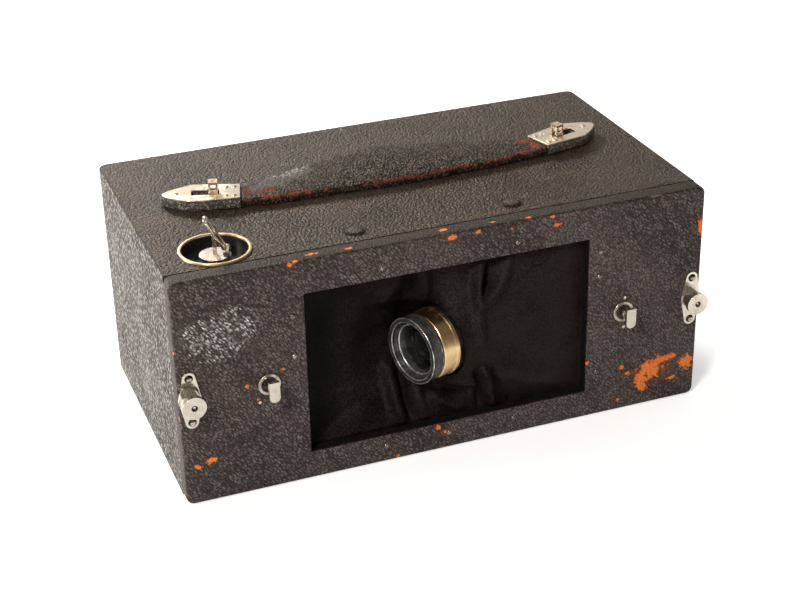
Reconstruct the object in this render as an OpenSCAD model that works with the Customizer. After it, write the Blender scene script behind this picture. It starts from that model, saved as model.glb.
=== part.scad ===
// Swing-lens panoramic box camera with a leather-covered wooden case.
// Millimetres. Origin at the centre of the base, +Z up, the front faces -Y.

/* [Case] */
// Space between the film's radius and an end board
end_room = 5.1; // [4.5:0.1:10]
// Space between the film's radius and the back board
back_room = 11.8; // [6:0.1:20]
// Space between the window's rebate and the lens arm above it
head_room = 2; // [0.3:0.1:8]
// Space between the window's rebate and the lens arm below it
sill_room = 0.3; // [0.3:0.1:6]
// Thickness of the front board with its leather
front_t = 9.5; // [8.5:0.5:12]
// Step from the edge of the front board in to the case
case_step = 0.4; // [0.2:0.1:1]
// Thickness of the leather covering
leather_t = 0.7; // [0.5:0.1:1]
// Thickness of the top, bottom and back boards
board_t = 6; // [5:0.5:6.5]
// Thickness of the end boards
end_t = 7.3; // [6.5:0.1:8.5]
// Radius of the two upright corners at the back
back_corner_r = 4.5; // [4:0.5:12]
// Radius of the corners of the front board
front_corner_r = 2.5; // [1:0.5:4]

/* [Window and curtain] */
// Width of the window in the front board
window_w = 147; // [130:1:155]
// Height of the window in the front board
window_h = 86; // [80:1:88]
// Width of the rebate behind the window
rebate_w = 4.5; // [4:0.1:5]
// Depth of the rebate behind the window
rebate_d = 3.3; // [3:0.1:4]
// Thickness of the curtain cloth
cloth_t = 0.8; // [0.6:0.1:1]
// Distance of the tacks from the window's edge
tack_out = 5.9; // [4:0.1:9]
// Radius of a tack's head
tack_r = 1.5; // [1:0.1:2]

/* [Lens] */
// Swing of the lens to either side of straight ahead, in degrees
swing_deg = 71; // [50:1:72]
// Distance from the pivot to the back of the brass flange
flange_from = 4.6; // [4:0.1:6]
// Length of the brass flange
flange_len = 9.6; // [8:0.1:11]
// Length of the black hood ring
hood_len = 6.2; // [5:0.1:9]
// Clear radius of the glass
glass_r = 10.5; // [9:0.1:11]
// Wall of the lens tube
tube_wall = 3; // [2:0.1:4]
// Wall of the brass flange
flange_wall = 3.5; // [2.5:0.1:4]
// Radius of the film's curve about the pivot
film_r = 123; // [119:0.5:124]
// How far the film reaches past the window's height at each edge
film_over = 1.5; // [0:0.1:2]

/* [Winding key] */
// Distance of the spools in from the guide rollers
spool_in = 9.1; // [8.5:0.1:12]
// Distance of the guide rollers behind the lens pivot
roller_back = 29; // [28.5:0.1:31]
// Space between the key's rim and the seam of the front board
rim_room = 0.4; // [0.3:0.1:1]
// Outer radius of the key's rim
key_rim_r = 17.6; // [16:0.1:18]
// Radius of the key's disc
key_disc_r = 7.5; // [7:0.1:9]
// Length of the folding leaf
key_leaf_len = 20; // [14:0.5:20]
// Lean of the folding leaf at rest, in degrees
key_lean_deg = 29; // [20:1:35]
// Turn of the key at rest, in degrees
key_turn_deg = -20; // [-90:1:90]

/* [Handle] */
// Distance of the staples from the end of the case
staple_in = 43.1; // [36:0.1:50]
// Distance of the handle behind the middle of the camera
handle_y = 4; // [-10:0.5:15]
// Width of the strap in the middle
strap_w = 36; // [28:1:40]
// Thickness of the strap
strap_t = 4.5; // [3:0.1:6]
// Length of an end plate
plate_len = 38.5; // [34:0.5:42]
// Width of an end plate at its widest
plate_w = 20.5; // [18:0.5:24]
// How far each end slides in when the strap is lifted
end_travel = 8; // [4:0.5:10]
// Turn of the end plates on their staples, tips to the back, in degrees
end_turn = 16; // [0:1:20]

/* [Front fittings] */
// Distance of the post screws from the end of the front board
post_in = 5.5; // [5:0.1:6.5]
// Radius of a post screw's head
post_head_r = 5.75; // [5:0.05:6.5]
// How far a post screw's head stands out
post_out = 9; // [7:0.5:12]
// Distance between the two plate screws of a post
ear_spacing = 23.2; // [20:0.2:26]
// Distance of the release levers from the window's edge
lever_off = 19.3; // [14:0.1:24]
// How far a lever's tab stands out
lever_out = 9.8; // [8:0.2:12]
// Width of a lever's tab
tab_w = 5.2; // [4:0.1:6]
// Height of a lever's tab
tab_h = 10.5; // [8:0.1:12]

/* [Base] */
// Radius of the tripod thread's wall
tripod_r = 2.6; // [2.4:0.1:4]
// Depth of the tripod thread
tripod_deep = 9; // [8:0.5:10]

/* [Hidden] */
$fn = 64;
running = 0.05;         // radial clearance of a shaft in its bore
clear = 0.3;            // clearance between pieces that must not touch

// Lens arms and their brackets
bracket_t = 2;
arm_gap = 0.2;
arm_t = 1.6;

// Case, worked out from the window and the film
arm_stack = board_t + bracket_t + arm_gap + arm_t;
window_bottom = arm_stack + sill_room + rebate_w;
window_top = window_bottom + window_h;
axis_z = window_bottom + window_h / 2;
front_h = window_top + rebate_w + head_room + arm_stack + leather_t + case_step;
front_w = 2 * (film_r + end_room + end_t + leather_t + case_step);
case_d = front_t + film_r + back_room + board_t + leather_t;
front_y = -case_d / 2;
back_y = case_d / 2;
board_y = front_y + leather_t;
seam_y = front_y + front_t;
case_half = front_w / 2 - case_step;
top_z = front_h - case_step;
wood_half = case_half - leather_t;
wood_top = top_z - leather_t;
ceiling_z = wood_top - board_t;
end_in = wood_half - end_t;
back_in = back_y - leather_t - board_t;

// Window, rebate and curtain
rebate_y = seam_y - rebate_d;
batten_t = rebate_d - cloth_t - 2 * clear;
batten_w = rebate_w - clear;

// Lens and yoke, with the lens pointing to -Y before it is swung
pivot_y = seam_y;
pin_r = 2.5;
arm_half = 4;
bracket_half = 9;
bracket_len = 24;
eye_wall = 1;
neck_len = 3;
bracket_eye = arm_half + eye_wall;
bracket_neck = arm_half + neck_len;
strap_front = 10;
strap_half = 2.2;
yoke_t = 3;
tube_r = glass_r + tube_wall;
barrel_r = tube_r + flange_wall;
tube_back = strap_front + yoke_t;
collar_len = 3;
collar_r = barrel_r + 0.3;
flange_rim = 1.6;
rim_slope = 0.6;
flange_end = flange_from + flange_len;
groove_len = 1;
hood_from = flange_end + groove_len;
hood_end = hood_from + hood_len;
hood_lip = 2.4;
hood_rim = 1;
hood_throat = 2.2;
hood_seat_r = glass_r + 1;
bead = 0.4;
stop_r = 4;
stop_t = 0.8;
front_bulge_r = 24;
front_glass_t = 4.5;
front_glass_in = 5;
rear_bulge_r = 30;
rear_glass_t = 3.5;
rear_glass_in = 3;
yoke_rim = 2;
yoke_disc_r = tube_r + yoke_rim;
upper_arm_z = ceiling_z - bracket_t - arm_gap - arm_t;
lower_arm_z = board_t + bracket_t + arm_gap;
notch_r = 7.2;

// Tacks, as distances from the middle of the window's four edges
tack_h = 0.7;
tack_crown_r = tack_r - tack_h / 2;
tacks_top = [-34.6, 34.8];
tacks_bottom = [-35, -1.8, 33.3];
tacks_left = [-33, 11.4, 32.6];
tacks_right = [-32.4, 21.9, 35.5];

// Film path
gate_lip = 2;
gate_depth = 4;
gate_short_deg = 2.5;
gate_slack = 0.3;
gate_back_up = 3;
gate_front_up = 1.5;
film_t = 0.3;
film_w = window_h + 2 * film_over;
film_bottom = axis_z - film_w / 2;
film_top = axis_z + film_w / 2;
cone_end = film_r - gate_lip - 1.2;
cone_wall = 0.8;
slit_half = 2.5;
slit_in = 1.5;
cone_in = 1;
cone_mouth = yoke_disc_r - cone_in;
flange_r = 10.5;
spool_flange_t = 1.2;
core_r = 4.5;
roll_r = 9;
spool_pin_r = 2;
spool_gap = 2.5;
pin_sunk = 4;
pin_in = 4;
roller_r = 3;
roller_pin_r = 1.2;
roller_gap = 2;
roller_at = film_r - roller_r - clear;
roller_x = sqrt(roller_at * roller_at - roller_back * roller_back);
roller_y = pivot_y + roller_back;
gate_deg = atan2(roller_x, roller_back) - gate_short_deg;
spool_x = roller_x - spool_in;
spool_y = seam_y + key_rim_r + rim_room;

// Winding key
cup_r = key_rim_r - 1.2;
cup_wall = 0.8;
cup_deep = 5.6;
rim_h = 1;
disc_t = 1.5;
disc_down = 2;
disc_top = top_z - disc_down;
shaft_r = 3;
hinge_edge = 2;
hinge_in = key_disc_r - hinge_edge;
hinge_up = 1.5;
hinge_pin_r = 0.7;
leaf_t = 1.2;
leaf_half = 3.2;
leaf_slot = 3;
leaf_foot = 2.2;
leaf_barrel_r = 1.25;
ear_t = 1;
knuckle_r = 1.5;
catch_h = 10;
catch_w = 1.8;
tongue_w = 5;
tongue_t = 1.4;
tongue_len = 6;

// Handle
staple_x = case_half - staple_in;
tab_lift = 0.4;
tab_t = 4.4;
tab_grow = 0.7;
plate_lead = 10.2;
plate_t = 1.2;
plate_end_w = 16.5;
nose_len = 15;
nose_power = 1.6;
staple_w = 4.5;
staple_t = 1.3;
staple_span = 5;
staple_rise = 5.8;
staple_eye_w = 2.6;
staple_eye_h = 3.2;
staple_hole_r = 1.1;
slot_play = 0.6;
slot_w = staple_span + 2 * slot_play;
slot_len = staple_w + end_travel + 2 * slot_play;
plate_from = staple_x - staple_w / 2 - slot_play - plate_lead;
plate_z = top_z + tab_lift + tab_t;
strap_end_gap = 2;
strap_end = plate_from - strap_end_gap - (plate_end_w / 2 + tab_grow) * sin(end_turn);
strap_end_w = plate_end_w;
rivet_r = 1.5;
rivet_h = 0.7;
rivet_in = 3;
rivet_step = 4;
rivet_tip = 7;

// Front fittings
post_x = front_w / 2 - post_in;
lever_x = window_w / 2 + lever_off;
post_plate_r = post_in;
post_plate_t = 1.5;
ear_r = 3.2;
plate_tuck = 0.05;
screw_r = 2.2;
screw_ball_r = 2.3;
screw_sunk = 1;
screw_slot = 0.6;
post_shaft_r = 2;
collar_post_r = 4.9;
post_head_t = 3;
post_bevel = 0.6;
dimple_r = 1.35;
post_grip = 12;
ring_r = 5.6;
ring_in_r = 4;
ring_t = 1.5;
lever_shaft_r = 2;
lever_tab_t = 2;
pawl_t = 2;
pawl_len = 14;
pawl_half = 2.5;
pawl_boss = 1.5;
stop_pin_r = 0.8;
stop_pin_out = 2;
stop_pin_drop = 8.2;
stop_pin_side = 5.4;

// Top, back and base fittings
cap_x = 40.5;
cap_back = 21;
cap_r = 4.8;
cap_h = 1.4;
cap_bulge_r = 11;
window_red_r = 7;
pane_in = 1;
pane_t = 2;
pane_lip = 1.5;
bezel_r = 9.5;
bezel_t = 1;
red_window_z = 40;
bush_r = 6;
bush_y = 12;
bush_cap = 1;
spring_x = 52;
spring_back = 10;
spring_post_y = pivot_y + spring_back;
spring_up = 6;
spring_z = board_t + spring_up;
spring_r = 2.4;
spring_wire_r = 0.45;
spring_turns = 12;
post_r = 1.6;

// Main folds of the curtain: direction seen from the lens, height and half width, in degrees and mm
folds = [[50, 4.5, 13], [78, 2, 8], [103, 3.5, 9], [122, 3, 9], [-50, 4, 9], [-72, 3.5, 8], [-104, 3, 10]];
slack_mid = 1.35;
slack_side = 0.75;
cols_side = 15;
cols = 4 * cols_side;
rows = 8;
cloth_ring_r = collar_r + cloth_t + 2 * clear;
cloth_ring_s = flange_from - collar_len / 2;
cloth_y = rebate_y + clear + cloth_t;
cloth_margin = rebate_w - 2 * clear;

leather_colour = "#2e2927";
wood_colour = "#6b4a2c";
nickel_colour = "#d8d2c4";
brass_colour = "#c79a4a";
black_colour = "#161515";
steel_colour = "#8f9196";
cloth_colour = "#1c1816";
film_colour = "#3a3440";
glass_colour = "#9fb4bd";
ruby_colour = "#7a1512";

// Shared shapes

// Plan of the case, drawn in by inset, with round corners at the back
module case_plan(inset) {
    half = case_half - inset;
    back = back_y - inset;
    r = back_corner_r - inset;
    translate([-half, seam_y]) square([2 * half, back - r - seam_y]);
    translate([-half + r, seam_y]) square([2 * (half - r), back - seam_y]);
    for (side = [-1, 1]) translate([side * (half - r), back - r]) circle(r);
}

// Flat sheet parallel to the front, from y0 to y1, with outline children drawn in x and z
module upright(y0, y1) {
    translate([0, y1, 0]) rotate([90, 0, 0]) linear_extrude(y1 - y0) children();
}

module round_rect(w, h, r) {
    translate([-w / 2 + r, 0]) square([w - 2 * r, h]);
    translate([-w / 2, r]) square([w, h - 2 * r]);
    for (side = [-1, 1], z = [r, h - r]) translate([side * (w / 2 - r), z]) circle(r);
}

module window_outline(grow) {
    translate([-window_w / 2 - grow, window_bottom - grow])
        square([window_w + 2 * grow, window_h + 2 * grow]);
}

// Cylinder along Y from y0 to y1
module bar_y(r, y0, y1) {
    translate([0, y1, 0]) rotate([90, 0, 0]) cylinder(r = r, h = y1 - y0);
}

// Frame of the swung lens: the lens points to -Y, the pivot is the origin, z is measured from the axis
module at_lens() {
    translate([0, pivot_y, axis_z]) rotate([0, 0, -swing_deg]) children();
}

// Ring about the lens axis from s0 to s1 in front of the pivot, from a profile of [radius, s]
module lens_turned(profile) {
    at_lens() rotate([90, 0, 0]) rotate_extrude() polygon(profile);
}

// Case

module top_board() {
    color(wood_colour) difference() {
        translate([0, 0, ceiling_z]) linear_extrude(board_t) case_plan(leather_t);
        translate([-spool_x, spool_y, ceiling_z - 1]) cylinder(r = cup_r + running, h = board_t + 2);
        for (side = [-1, 1]) staple_legs(side, clear / 2);
        translate([spool_x, spool_y, ceiling_z - 1]) cylinder(r = spool_pin_r, h = pin_sunk + 1);
    }
}

module bottom_board() {
    color(wood_colour) difference() {
        linear_extrude(board_t) case_plan(leather_t);
        translate([0, bush_y, -1]) cylinder(r = bush_r, h = board_t + 2);
        for (side = [-1, 1]) {
            roller_place(side) translate([0, 0, board_t - pin_sunk])
                cylinder(r = roller_pin_r, h = pin_sunk + 1);
            translate([side * spool_x, spool_y, board_t - pin_sunk])
                cylinder(r = spool_pin_r, h = pin_sunk + 1);
        }
        translate([spring_x, spring_post_y, board_t - pin_sunk]) cylinder(r = post_r, h = pin_sunk + 1);
    }
}

module end_board(side) {
    color(wood_colour) difference() {
        intersection() {
            translate([side > 0 ? end_in : -wood_half, seam_y, board_t])
                cube([end_t, back_in - seam_y, ceiling_z - board_t]);
            translate([0, 0, board_t]) linear_extrude(ceiling_z - board_t) case_plan(leather_t);
        }
        translate([side * post_x, 0, axis_z])
            bar_y(post_shaft_r + running, seam_y - 1, seam_y + post_grip + clear);
    }
}

module left_end_board() { end_board(-1); }
module right_end_board() { end_board(1); }

module back_board() {
    color(wood_colour) difference() {
        intersection() {
            translate([0, 0, board_t]) linear_extrude(ceiling_z - board_t) case_plan(leather_t);
            translate([-case_half, back_in, 0]) cube([2 * case_half, board_t + leather_t, front_h]);
        }
        translate([0, 0, red_window_z]) bar_y(window_red_r, back_in - 1, back_y);
    }
}

module case_leather() {
    color(leather_colour) difference() {
        linear_extrude(top_z) case_plan(0);
        translate([0, 0, -1]) linear_extrude(wood_top + 1) case_plan(leather_t);
        translate([-case_half - 1, seam_y - 1, -1]) cube([2 * case_half + 2, 1, front_h + 2]);
        translate([-spool_x, spool_y, ceiling_z]) cylinder(r = cup_r + running, h = board_t + 2);
        translate([0, 0, red_window_z]) bar_y(window_red_r, back_in, back_y + 1);
        for (side = [-1, 1]) staple_legs(side, clear / 2);
    }
}

// Front

module front_board() {
    color(wood_colour) difference() {
        upright(board_y, seam_y) round_rect(front_w, front_h, front_corner_r);
        upright(board_y - 1, seam_y + 1) window_outline(0);
        upright(rebate_y, seam_y + 1) window_outline(rebate_w);
        translate([0, pivot_y, board_t]) cylinder(r = notch_r, h = window_bottom - rebate_w - board_t + 1);
        translate([0, pivot_y, window_top + rebate_w - 1])
            cylinder(r = notch_r, h = ceiling_z - window_top - rebate_w + 1);
        front_holes(board_y - 1, seam_y + 1);
    }
}

module front_leather() {
    color(leather_colour) difference() {
        upright(front_y, board_y) round_rect(front_w, front_h, front_corner_r);
        upright(front_y - 1, board_y + 1) window_outline(0);
        front_holes(front_y - 1, board_y + 1);
    }
}

module front_holes(y0, y1) {
    for (side = [-1, 1]) {
        translate([side * post_x, 0, axis_z]) bar_y(post_shaft_r + running, y0, y1);
        translate([side * lever_x, 0, axis_z]) bar_y(lever_shaft_r + running, y0, y1);
    }
}

// Heads of the tacks that hold the leather round the window
module front_tacks() {
    x_out = window_w / 2 + tack_out;
    z_out = window_h / 2 + tack_out;
    color(black_colour) {
        for (x = tacks_top) tack(x, z_out);
        for (x = tacks_bottom) tack(x, -z_out);
        for (z = tacks_left) tack(-x_out, z);
        for (z = tacks_right) tack(x_out, z);
    }
}

module tack(x, z) {
    translate([x, front_y, axis_z + z]) {
        bar_y(tack_r, -tack_h / 2, 0, $fn = 12);
        bar_y(tack_crown_r, -tack_h, -tack_h / 2, $fn = 12);
    }
}

// Four battens that clamp the curtain into the rebate
module curtain_frame() {
    y0 = seam_y - batten_t;
    color(black_colour) {
        for (side = [-1, 1]) {
            upright(y0, seam_y) translate([side * (window_w + rebate_w) / 2, axis_z])
                square([batten_w, window_h + 2 * rebate_w - 2 * clear], center = true);
            upright(y0, seam_y) translate([0, axis_z + side * (window_h + rebate_w) / 2])
                square([window_w, batten_w], center = true);
        }
    }
}

// Curtain: a cloth gathered from the rebate of the window to the collar of the lens.
// Columns run round the lens from its lower right, rows from the collar out to the rebate.

function swung(p) = [
    p.x * cos(swing_deg) + p.y * sin(swing_deg),
    p.y * cos(swing_deg) - p.x * sin(swing_deg) + pivot_y,
    p.z];
function column_deg(i) = i * 90 / cols_side - 45;
function ring_point(i) =
    swung([cloth_ring_r * cos(column_deg(i)), -cloth_ring_s, cloth_ring_r * sin(column_deg(i))]);
function edge_point(i, grow) =
    let (side = floor(i / cols_side), u = 2 * (i % cols_side) / cols_side - 1,
         hx = window_w / 2 - clear + grow, hz = window_h / 2 - clear + grow)
    side == 0 ? [hx, cloth_y, hz * u] : side == 1 ? [-hx * u, cloth_y, hz]
    : side == 2 ? [-hx, cloth_y, -hz * u] : [hx * u, cloth_y, -hz];
function turn_between(a, b) = (a - b + 540) % 360 - 180;
function fold_lift(a, t) =
    sin(180 * t) * sum([for (f = folds) f[1] * exp(-pow(turn_between(a, f[0]) / f[2], 2))]);
function sum(v, i = 0) = i < len(v) ? v[i] + sum(v, i + 1) : 0;
function cloth_point(i, j) =
    j > rows ? edge_point(i, cloth_margin)
    : let (t = j / rows, a = column_deg(i), ring = ring_point(i), edge = edge_point(i, 0),
           slack = slack_mid - slack_side * cos(a), depth = pow(t, slack))
      [ring.x + (edge.x - ring.x) * t,
       ring.y + (edge.y - ring.y) * depth - fold_lift(a, t) * (2 + cos(a)) / 3,
       ring.z + (edge.z - ring.z) * t];

module curtain() {
    back = [for (j = [0:rows + 1], i = [0:cols - 1]) cloth_point(i, j) + [0, 0, axis_z]];
    front = [for (p = back) p - [0, cloth_t, 0]];
    size = cols * (rows + 2);
    faces = concat(
        [for (j = [0:rows], i = [0:cols - 1]) each let (
            a = j * cols + i, b = j * cols + (i + 1) % cols, c = b + cols, d = a + cols)
            [[a, b, c], [a, c, d], [size + c, size + b, size + a], [size + d, size + c, size + a]]],
        [for (i = [0:cols - 1]) each let (
            a = i, b = (i + 1) % cols, c = (rows + 1) * cols + a, d = (rows + 1) * cols + b)
            [[b, a, size + a], [b, size + a, size + b], [c, d, size + d], [c, size + d, size + c]]]);
    color(cloth_colour) polyhedron(concat(front, back), faces, convexity = 6);
}

// Swing of the lens

module pivot_bracket(z) {
    color(brass_colour) difference() {
        translate([0, 0, z]) linear_extrude(bracket_t) {
            translate([0, pivot_y]) circle(bracket_eye);
            translate([-bracket_eye, pivot_y]) square([2 * bracket_eye, bracket_neck + 1]);
            translate([-bracket_half, pivot_y + bracket_neck])
                square([2 * bracket_half, bracket_len - bracket_neck]);
        }
        translate([0, pivot_y, z - 1]) cylinder(r = pin_r + running, h = bracket_t + 2);
    }
}

module upper_pivot_bracket() { pivot_bracket(ceiling_z - bracket_t); }
module lower_pivot_bracket() { pivot_bracket(board_t); }

module lens_yoke() {
    low = lower_arm_z - axis_z;
    high = upper_arm_z - axis_z;
    color(steel_colour) at_lens() difference() {
        union() {
            for (z = [low, high]) translate([0, 0, z]) linear_extrude(arm_t) {
                circle(arm_half);
                translate([-strap_half, 0]) square([2 * strap_half, tube_back]);
            }
            translate([-strap_half, strap_front, low]) cube([2 * strap_half, yoke_t, high - low + arm_t]);
            bar_y(yoke_disc_r, strap_front, tube_back);
            translate([0, 0, low - arm_gap - bracket_t]) cylinder(r = pin_r, h = bracket_t + arm_gap + arm_t);
            translate([0, 0, high]) cylinder(r = pin_r, h = bracket_t + arm_gap + arm_t);
        }
        bar_y(tube_r, strap_front - 1, tube_back + 1);
    }
}

// Tube with the collar that the curtain is gathered on
module lens_tube() {
    color(black_colour) lens_turned([
        [glass_r, -tube_back], [tube_r, -tube_back], [tube_r, flange_from - collar_len],
        [collar_r, flange_from - collar_len], [collar_r, flange_from], [tube_r, flange_from],
            [tube_r, hood_from], [glass_r, hood_from]]);
}

module lens_flange() {
    color(brass_colour) lens_turned([
        [tube_r, flange_from], [barrel_r + bead, flange_from], [barrel_r + bead, flange_from + flange_rim],
        [barrel_r, flange_from + flange_rim + rim_slope], [barrel_r, flange_end - rim_slope],
        [barrel_r - rim_slope, flange_end], [tube_r, flange_end]]);
}

module lens_hood() {
    color(black_colour) lens_turned([
        [hood_seat_r, hood_from], [barrel_r, hood_from], [barrel_r, hood_from + hood_rim],
        [barrel_r - bead, hood_from + hood_rim + rim_slope], [barrel_r - bead, hood_end - hood_rim - rim_slope],
        [barrel_r, hood_end - hood_rim], [barrel_r, hood_end],
        [barrel_r - hood_lip, hood_end], [barrel_r - hood_lip, hood_end - hood_throat],
        [hood_seat_r + 1, hood_end - hood_throat - rim_slope], [hood_seat_r, hood_from + hood_rim]]);
}

// Points of a round crown of radius r, bulging with bulge_r, from its edge in to its top
function crown(r, bulge_r, top, steps = 8) =
    [for (k = [0:steps]) let (x = r * (1 - k / steps)) [x, top - bulge_r + sqrt(bulge_r * bulge_r - x * x)]];

// Bulging lens whose flat back lies at s
module glass(s, bulge_r, thick) {
    color(glass_colour) lens_turned(concat([[0, s], [glass_r, s]], crown(glass_r, bulge_r, s + thick)));
}

module front_glass() { glass(hood_from - front_glass_in, front_bulge_r, front_glass_t); }
module rear_glass() { glass(rear_glass_in - tube_back, rear_bulge_r, rear_glass_t); }

module aperture_plate() {
    color(black_colour) lens_turned([[stop_r, 0], [glass_r, 0], [glass_r, stop_t], [stop_r, stop_t]]);
}

// Hollow funnel from the yoke back to the slit in front of the film
module slit_cone() {
    color(black_colour) at_lens() difference() {
        cone_hull(0, tube_back, cone_end);
        cone_hull(cone_wall, tube_back - 0.1, cone_end + 0.1);
    }
}

module cone_hull(inset, y0, y1) {
    slice = 0.05;
    slit_high = film_w / 2 - slit_in - inset;
    hull() {
        translate([-cone_mouth + inset, y0, -cone_mouth + inset])
            cube([2 * (cone_mouth - inset), slice, 2 * (cone_mouth - inset)]);
        translate([-slit_half + inset, y1 - slice, -slit_high])
            cube([2 * (slit_half - inset), slice, 2 * slit_high]);
    }
}

module spring_post() {
    color(brass_colour) translate([spring_x, spring_post_y, board_t - pin_sunk])
        cylinder(r = post_r, h = spring_z - board_t + pin_sunk + spring_r);
}

// Coil spring that drives the swing, from the yoke to its post
module swing_spring() {
    start = swung([0, tube_back + clear + spring_wire_r, 0]);
    finish = [spring_x - post_r - clear - spring_r, spring_post_y, 0];
    along = finish - start;
    length = norm(along);
    turn_deg = atan2(along.y, along.x);
    steps = spring_turns * 8;
    sides = 6;
    points = [for (k = [0:steps], s = [0:sides - 1]) let (
        a = k * 360 / 8, b = s * 360 / sides, r = spring_r + spring_wire_r * cos(b))
        [length * k / steps + spring_wire_r * sin(b), r * cos(a), r * sin(a)]];
    faces = concat(
        [for (k = [0:steps - 1], s = [0:sides - 1]) each let (
            a = k * sides + s, b = k * sides + (s + 1) % sides, c = b + sides, d = a + sides)
            [[a, c, b], [a, d, c]]],
        [for (s = [1:sides - 2]) each [[0, s, s + 1], [steps * sides, steps * sides + s + 1,
            steps * sides + s]]]);
    color(steel_colour) translate([start.x, start.y, spring_z]) rotate([0, 0, turn_deg])
        polyhedron(points, faces, convexity = 6);
}

// Film path

// Section of a gate whose board lies at 0 and whose film edge lies at edge
module film_gate_profile(edge) {
    polygon([
        [film_r - gate_lip, 0], [film_r + gate_depth, 0], [film_r + gate_depth, edge + gate_back_up],
        [film_r + 2 * gate_slack, edge + gate_back_up], [film_r + 2 * gate_slack, edge - gate_slack],
        [film_r - gate_slack, edge - gate_slack], [film_r - gate_slack, edge + gate_front_up],
        [film_r - gate_lip, edge + gate_front_up]]);
}

module about_pivot() {
    translate([0, pivot_y, 0]) rotate([0, 0, 90 - gate_deg]) rotate_extrude(angle = 2 * gate_deg) children();
}

module lower_film_gate() {
    color(black_colour) translate([0, 0, board_t]) about_pivot() film_gate_profile(film_bottom - board_t);
}

module upper_film_gate() {
    color(black_colour) about_pivot() translate([0, ceiling_z]) mirror([0, 1])
        film_gate_profile(ceiling_z - film_top);
}

module film_band() {
    color(film_colour) about_pivot() translate([film_r, film_bottom]) square([film_t, film_w]);
}

module roller_place(side) {
    translate([side * roller_x, roller_y, 0]) children();
}

module guide_roller(side) {
    length = ceiling_z - board_t - 2 * roller_gap;
    color(steel_colour) roller_place(side) translate([0, 0, board_t + roller_gap]) difference() {
        cylinder(r = roller_r, h = length);
        translate([0, 0, -1]) cylinder(r = roller_pin_r + running, h = length + 2);
    }
}

module left_guide_roller() { guide_roller(-1); }
module right_guide_roller() { guide_roller(1); }

// Pins that the spools and rollers turn on: four in the floor and one in the ceiling
module spool_pins() {
    color(steel_colour) {
        for (side = [-1, 1]) {
            translate([side * spool_x, spool_y, 0]) {
                translate([0, 0, board_t - pin_sunk])
                    cylinder(r = spool_pin_r, h = film_bottom - board_t + pin_sunk + pin_in);
                translate([0, 0, board_t]) cylinder(r = core_r, h = spool_gap);
            }
            roller_place(side) {
                translate([0, 0, board_t - pin_sunk])
                    cylinder(r = roller_pin_r, h = ceiling_z - clear - board_t + pin_sunk);
                translate([0, 0, board_t]) cylinder(r = roller_r, h = roller_gap - clear);
            }
        }
        translate([spool_x, spool_y, 0]) {
            translate([0, 0, film_top - pin_in])
                cylinder(r = spool_pin_r, h = ceiling_z - film_top + pin_in + pin_sunk);
            translate([0, 0, ceiling_z - spool_gap]) cylinder(r = core_r, h = spool_gap);
        }
    }
}

module spool(x) {
    low = board_t + spool_gap + clear;
    high = ceiling_z - spool_gap - clear;
    translate([x, spool_y, 0]) difference() {
        union() {
            translate([0, 0, low]) cylinder(r = core_r, h = high - low);
            for (z = [film_bottom - spool_flange_t - clear, film_top + clear])
                translate([0, 0, z]) cylinder(r = flange_r, h = spool_flange_t);
        }
        translate([0, 0, low - 1])
            cylinder(r = spool_pin_r + running, h = film_bottom + pin_in + clear - low + 1);
        if (x > 0) translate([0, 0, film_top - pin_in - clear]) cylinder(r = spool_pin_r + running, h = high);
        else translate([-tongue_w / 2 - running, -tongue_t / 2 - running, high - tongue_len - clear])
            cube([tongue_w + 2 * running, tongue_t + 2 * running, tongue_len + 1]);
    }
}

module film_roll(x) {
    translate([x, spool_y, film_bottom]) difference() {
        cylinder(r = roll_r, h = film_w);
        translate([0, 0, -1]) cylinder(r = core_r, h = film_w + 2);
    }
}

module takeup_spool() { color(black_colour) spool(-spool_x); }
module supply_spool() { color(black_colour) spool(spool_x); }
module takeup_film() { color(film_colour) film_roll(-spool_x); }
module supply_film() { color(film_colour) film_roll(spool_x); }

// Winding key

module at_key() {
    translate([-spool_x, spool_y, 0]) children();
}

module key_cup() {
    color(black_colour) at_key() difference() {
        translate([0, 0, top_z - cup_deep - cup_wall]) cylinder(r = cup_r, h = cup_deep + cup_wall);
        translate([0, 0, top_z - cup_deep]) cylinder(r = cup_r - cup_wall, h = cup_deep + 1);
        translate([0, 0, top_z - cup_deep - cup_wall - 1]) cylinder(r = shaft_r + running, h = cup_wall + 2);
    }
}

module key_rim() {
    color(brass_colour) at_key() translate([0, 0, top_z]) rotate_extrude() polygon([
        [cup_r - cup_wall, 0], [key_rim_r, 0], [key_rim_r - 0.4, rim_h], [cup_r - cup_wall + 0.3, rim_h]]);
}

// Disc with its shaft, the two ears of the leaf and the catch that stands in the leaf's slot
module key_disc() {
    ear_y = leaf_half + clear / 2;
    high = ceiling_z - spool_gap - clear;
    color(nickel_colour) at_key() rotate([0, 0, key_turn_deg]) difference() {
        union() {
            translate([0, 0, disc_top - disc_t]) cylinder(r = key_disc_r, h = disc_t);
            translate([0, 0, high]) cylinder(r = shaft_r, h = disc_top - disc_t - high);
            translate([-catch_w / 2, -catch_w / 2, disc_top]) cube([catch_w, catch_w, catch_h]);
            for (side = [-1, 1]) translate([hinge_in, side * (ear_y + ear_t / 2), disc_top]) {
                translate([0, ear_t / 2, hinge_up]) rotate([90, 0, 0]) cylinder(r = knuckle_r, h = ear_t);
                translate([-knuckle_r, -ear_t / 2, 0]) cube([2 * knuckle_r, ear_t, hinge_up]);
            }
            rotate([0, 0, -key_turn_deg]) translate([-tongue_w / 2, -tongue_t / 2, high - tongue_len])
                cube([tongue_w, tongue_t, tongue_len]);
        }
        translate([hinge_in, 0, disc_top + hinge_up]) bar_y(hinge_pin_r, -key_disc_r, key_disc_r);
    }
}

module at_leaf() {
    at_key() rotate([0, 0, key_turn_deg]) translate([hinge_in, 0, disc_top + hinge_up]) children();
}

module key_hinge_pin() {
    reach = leaf_half + clear / 2 + ear_t;
    color(nickel_colour) at_leaf() bar_y(hinge_pin_r, -reach, reach);
}

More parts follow.
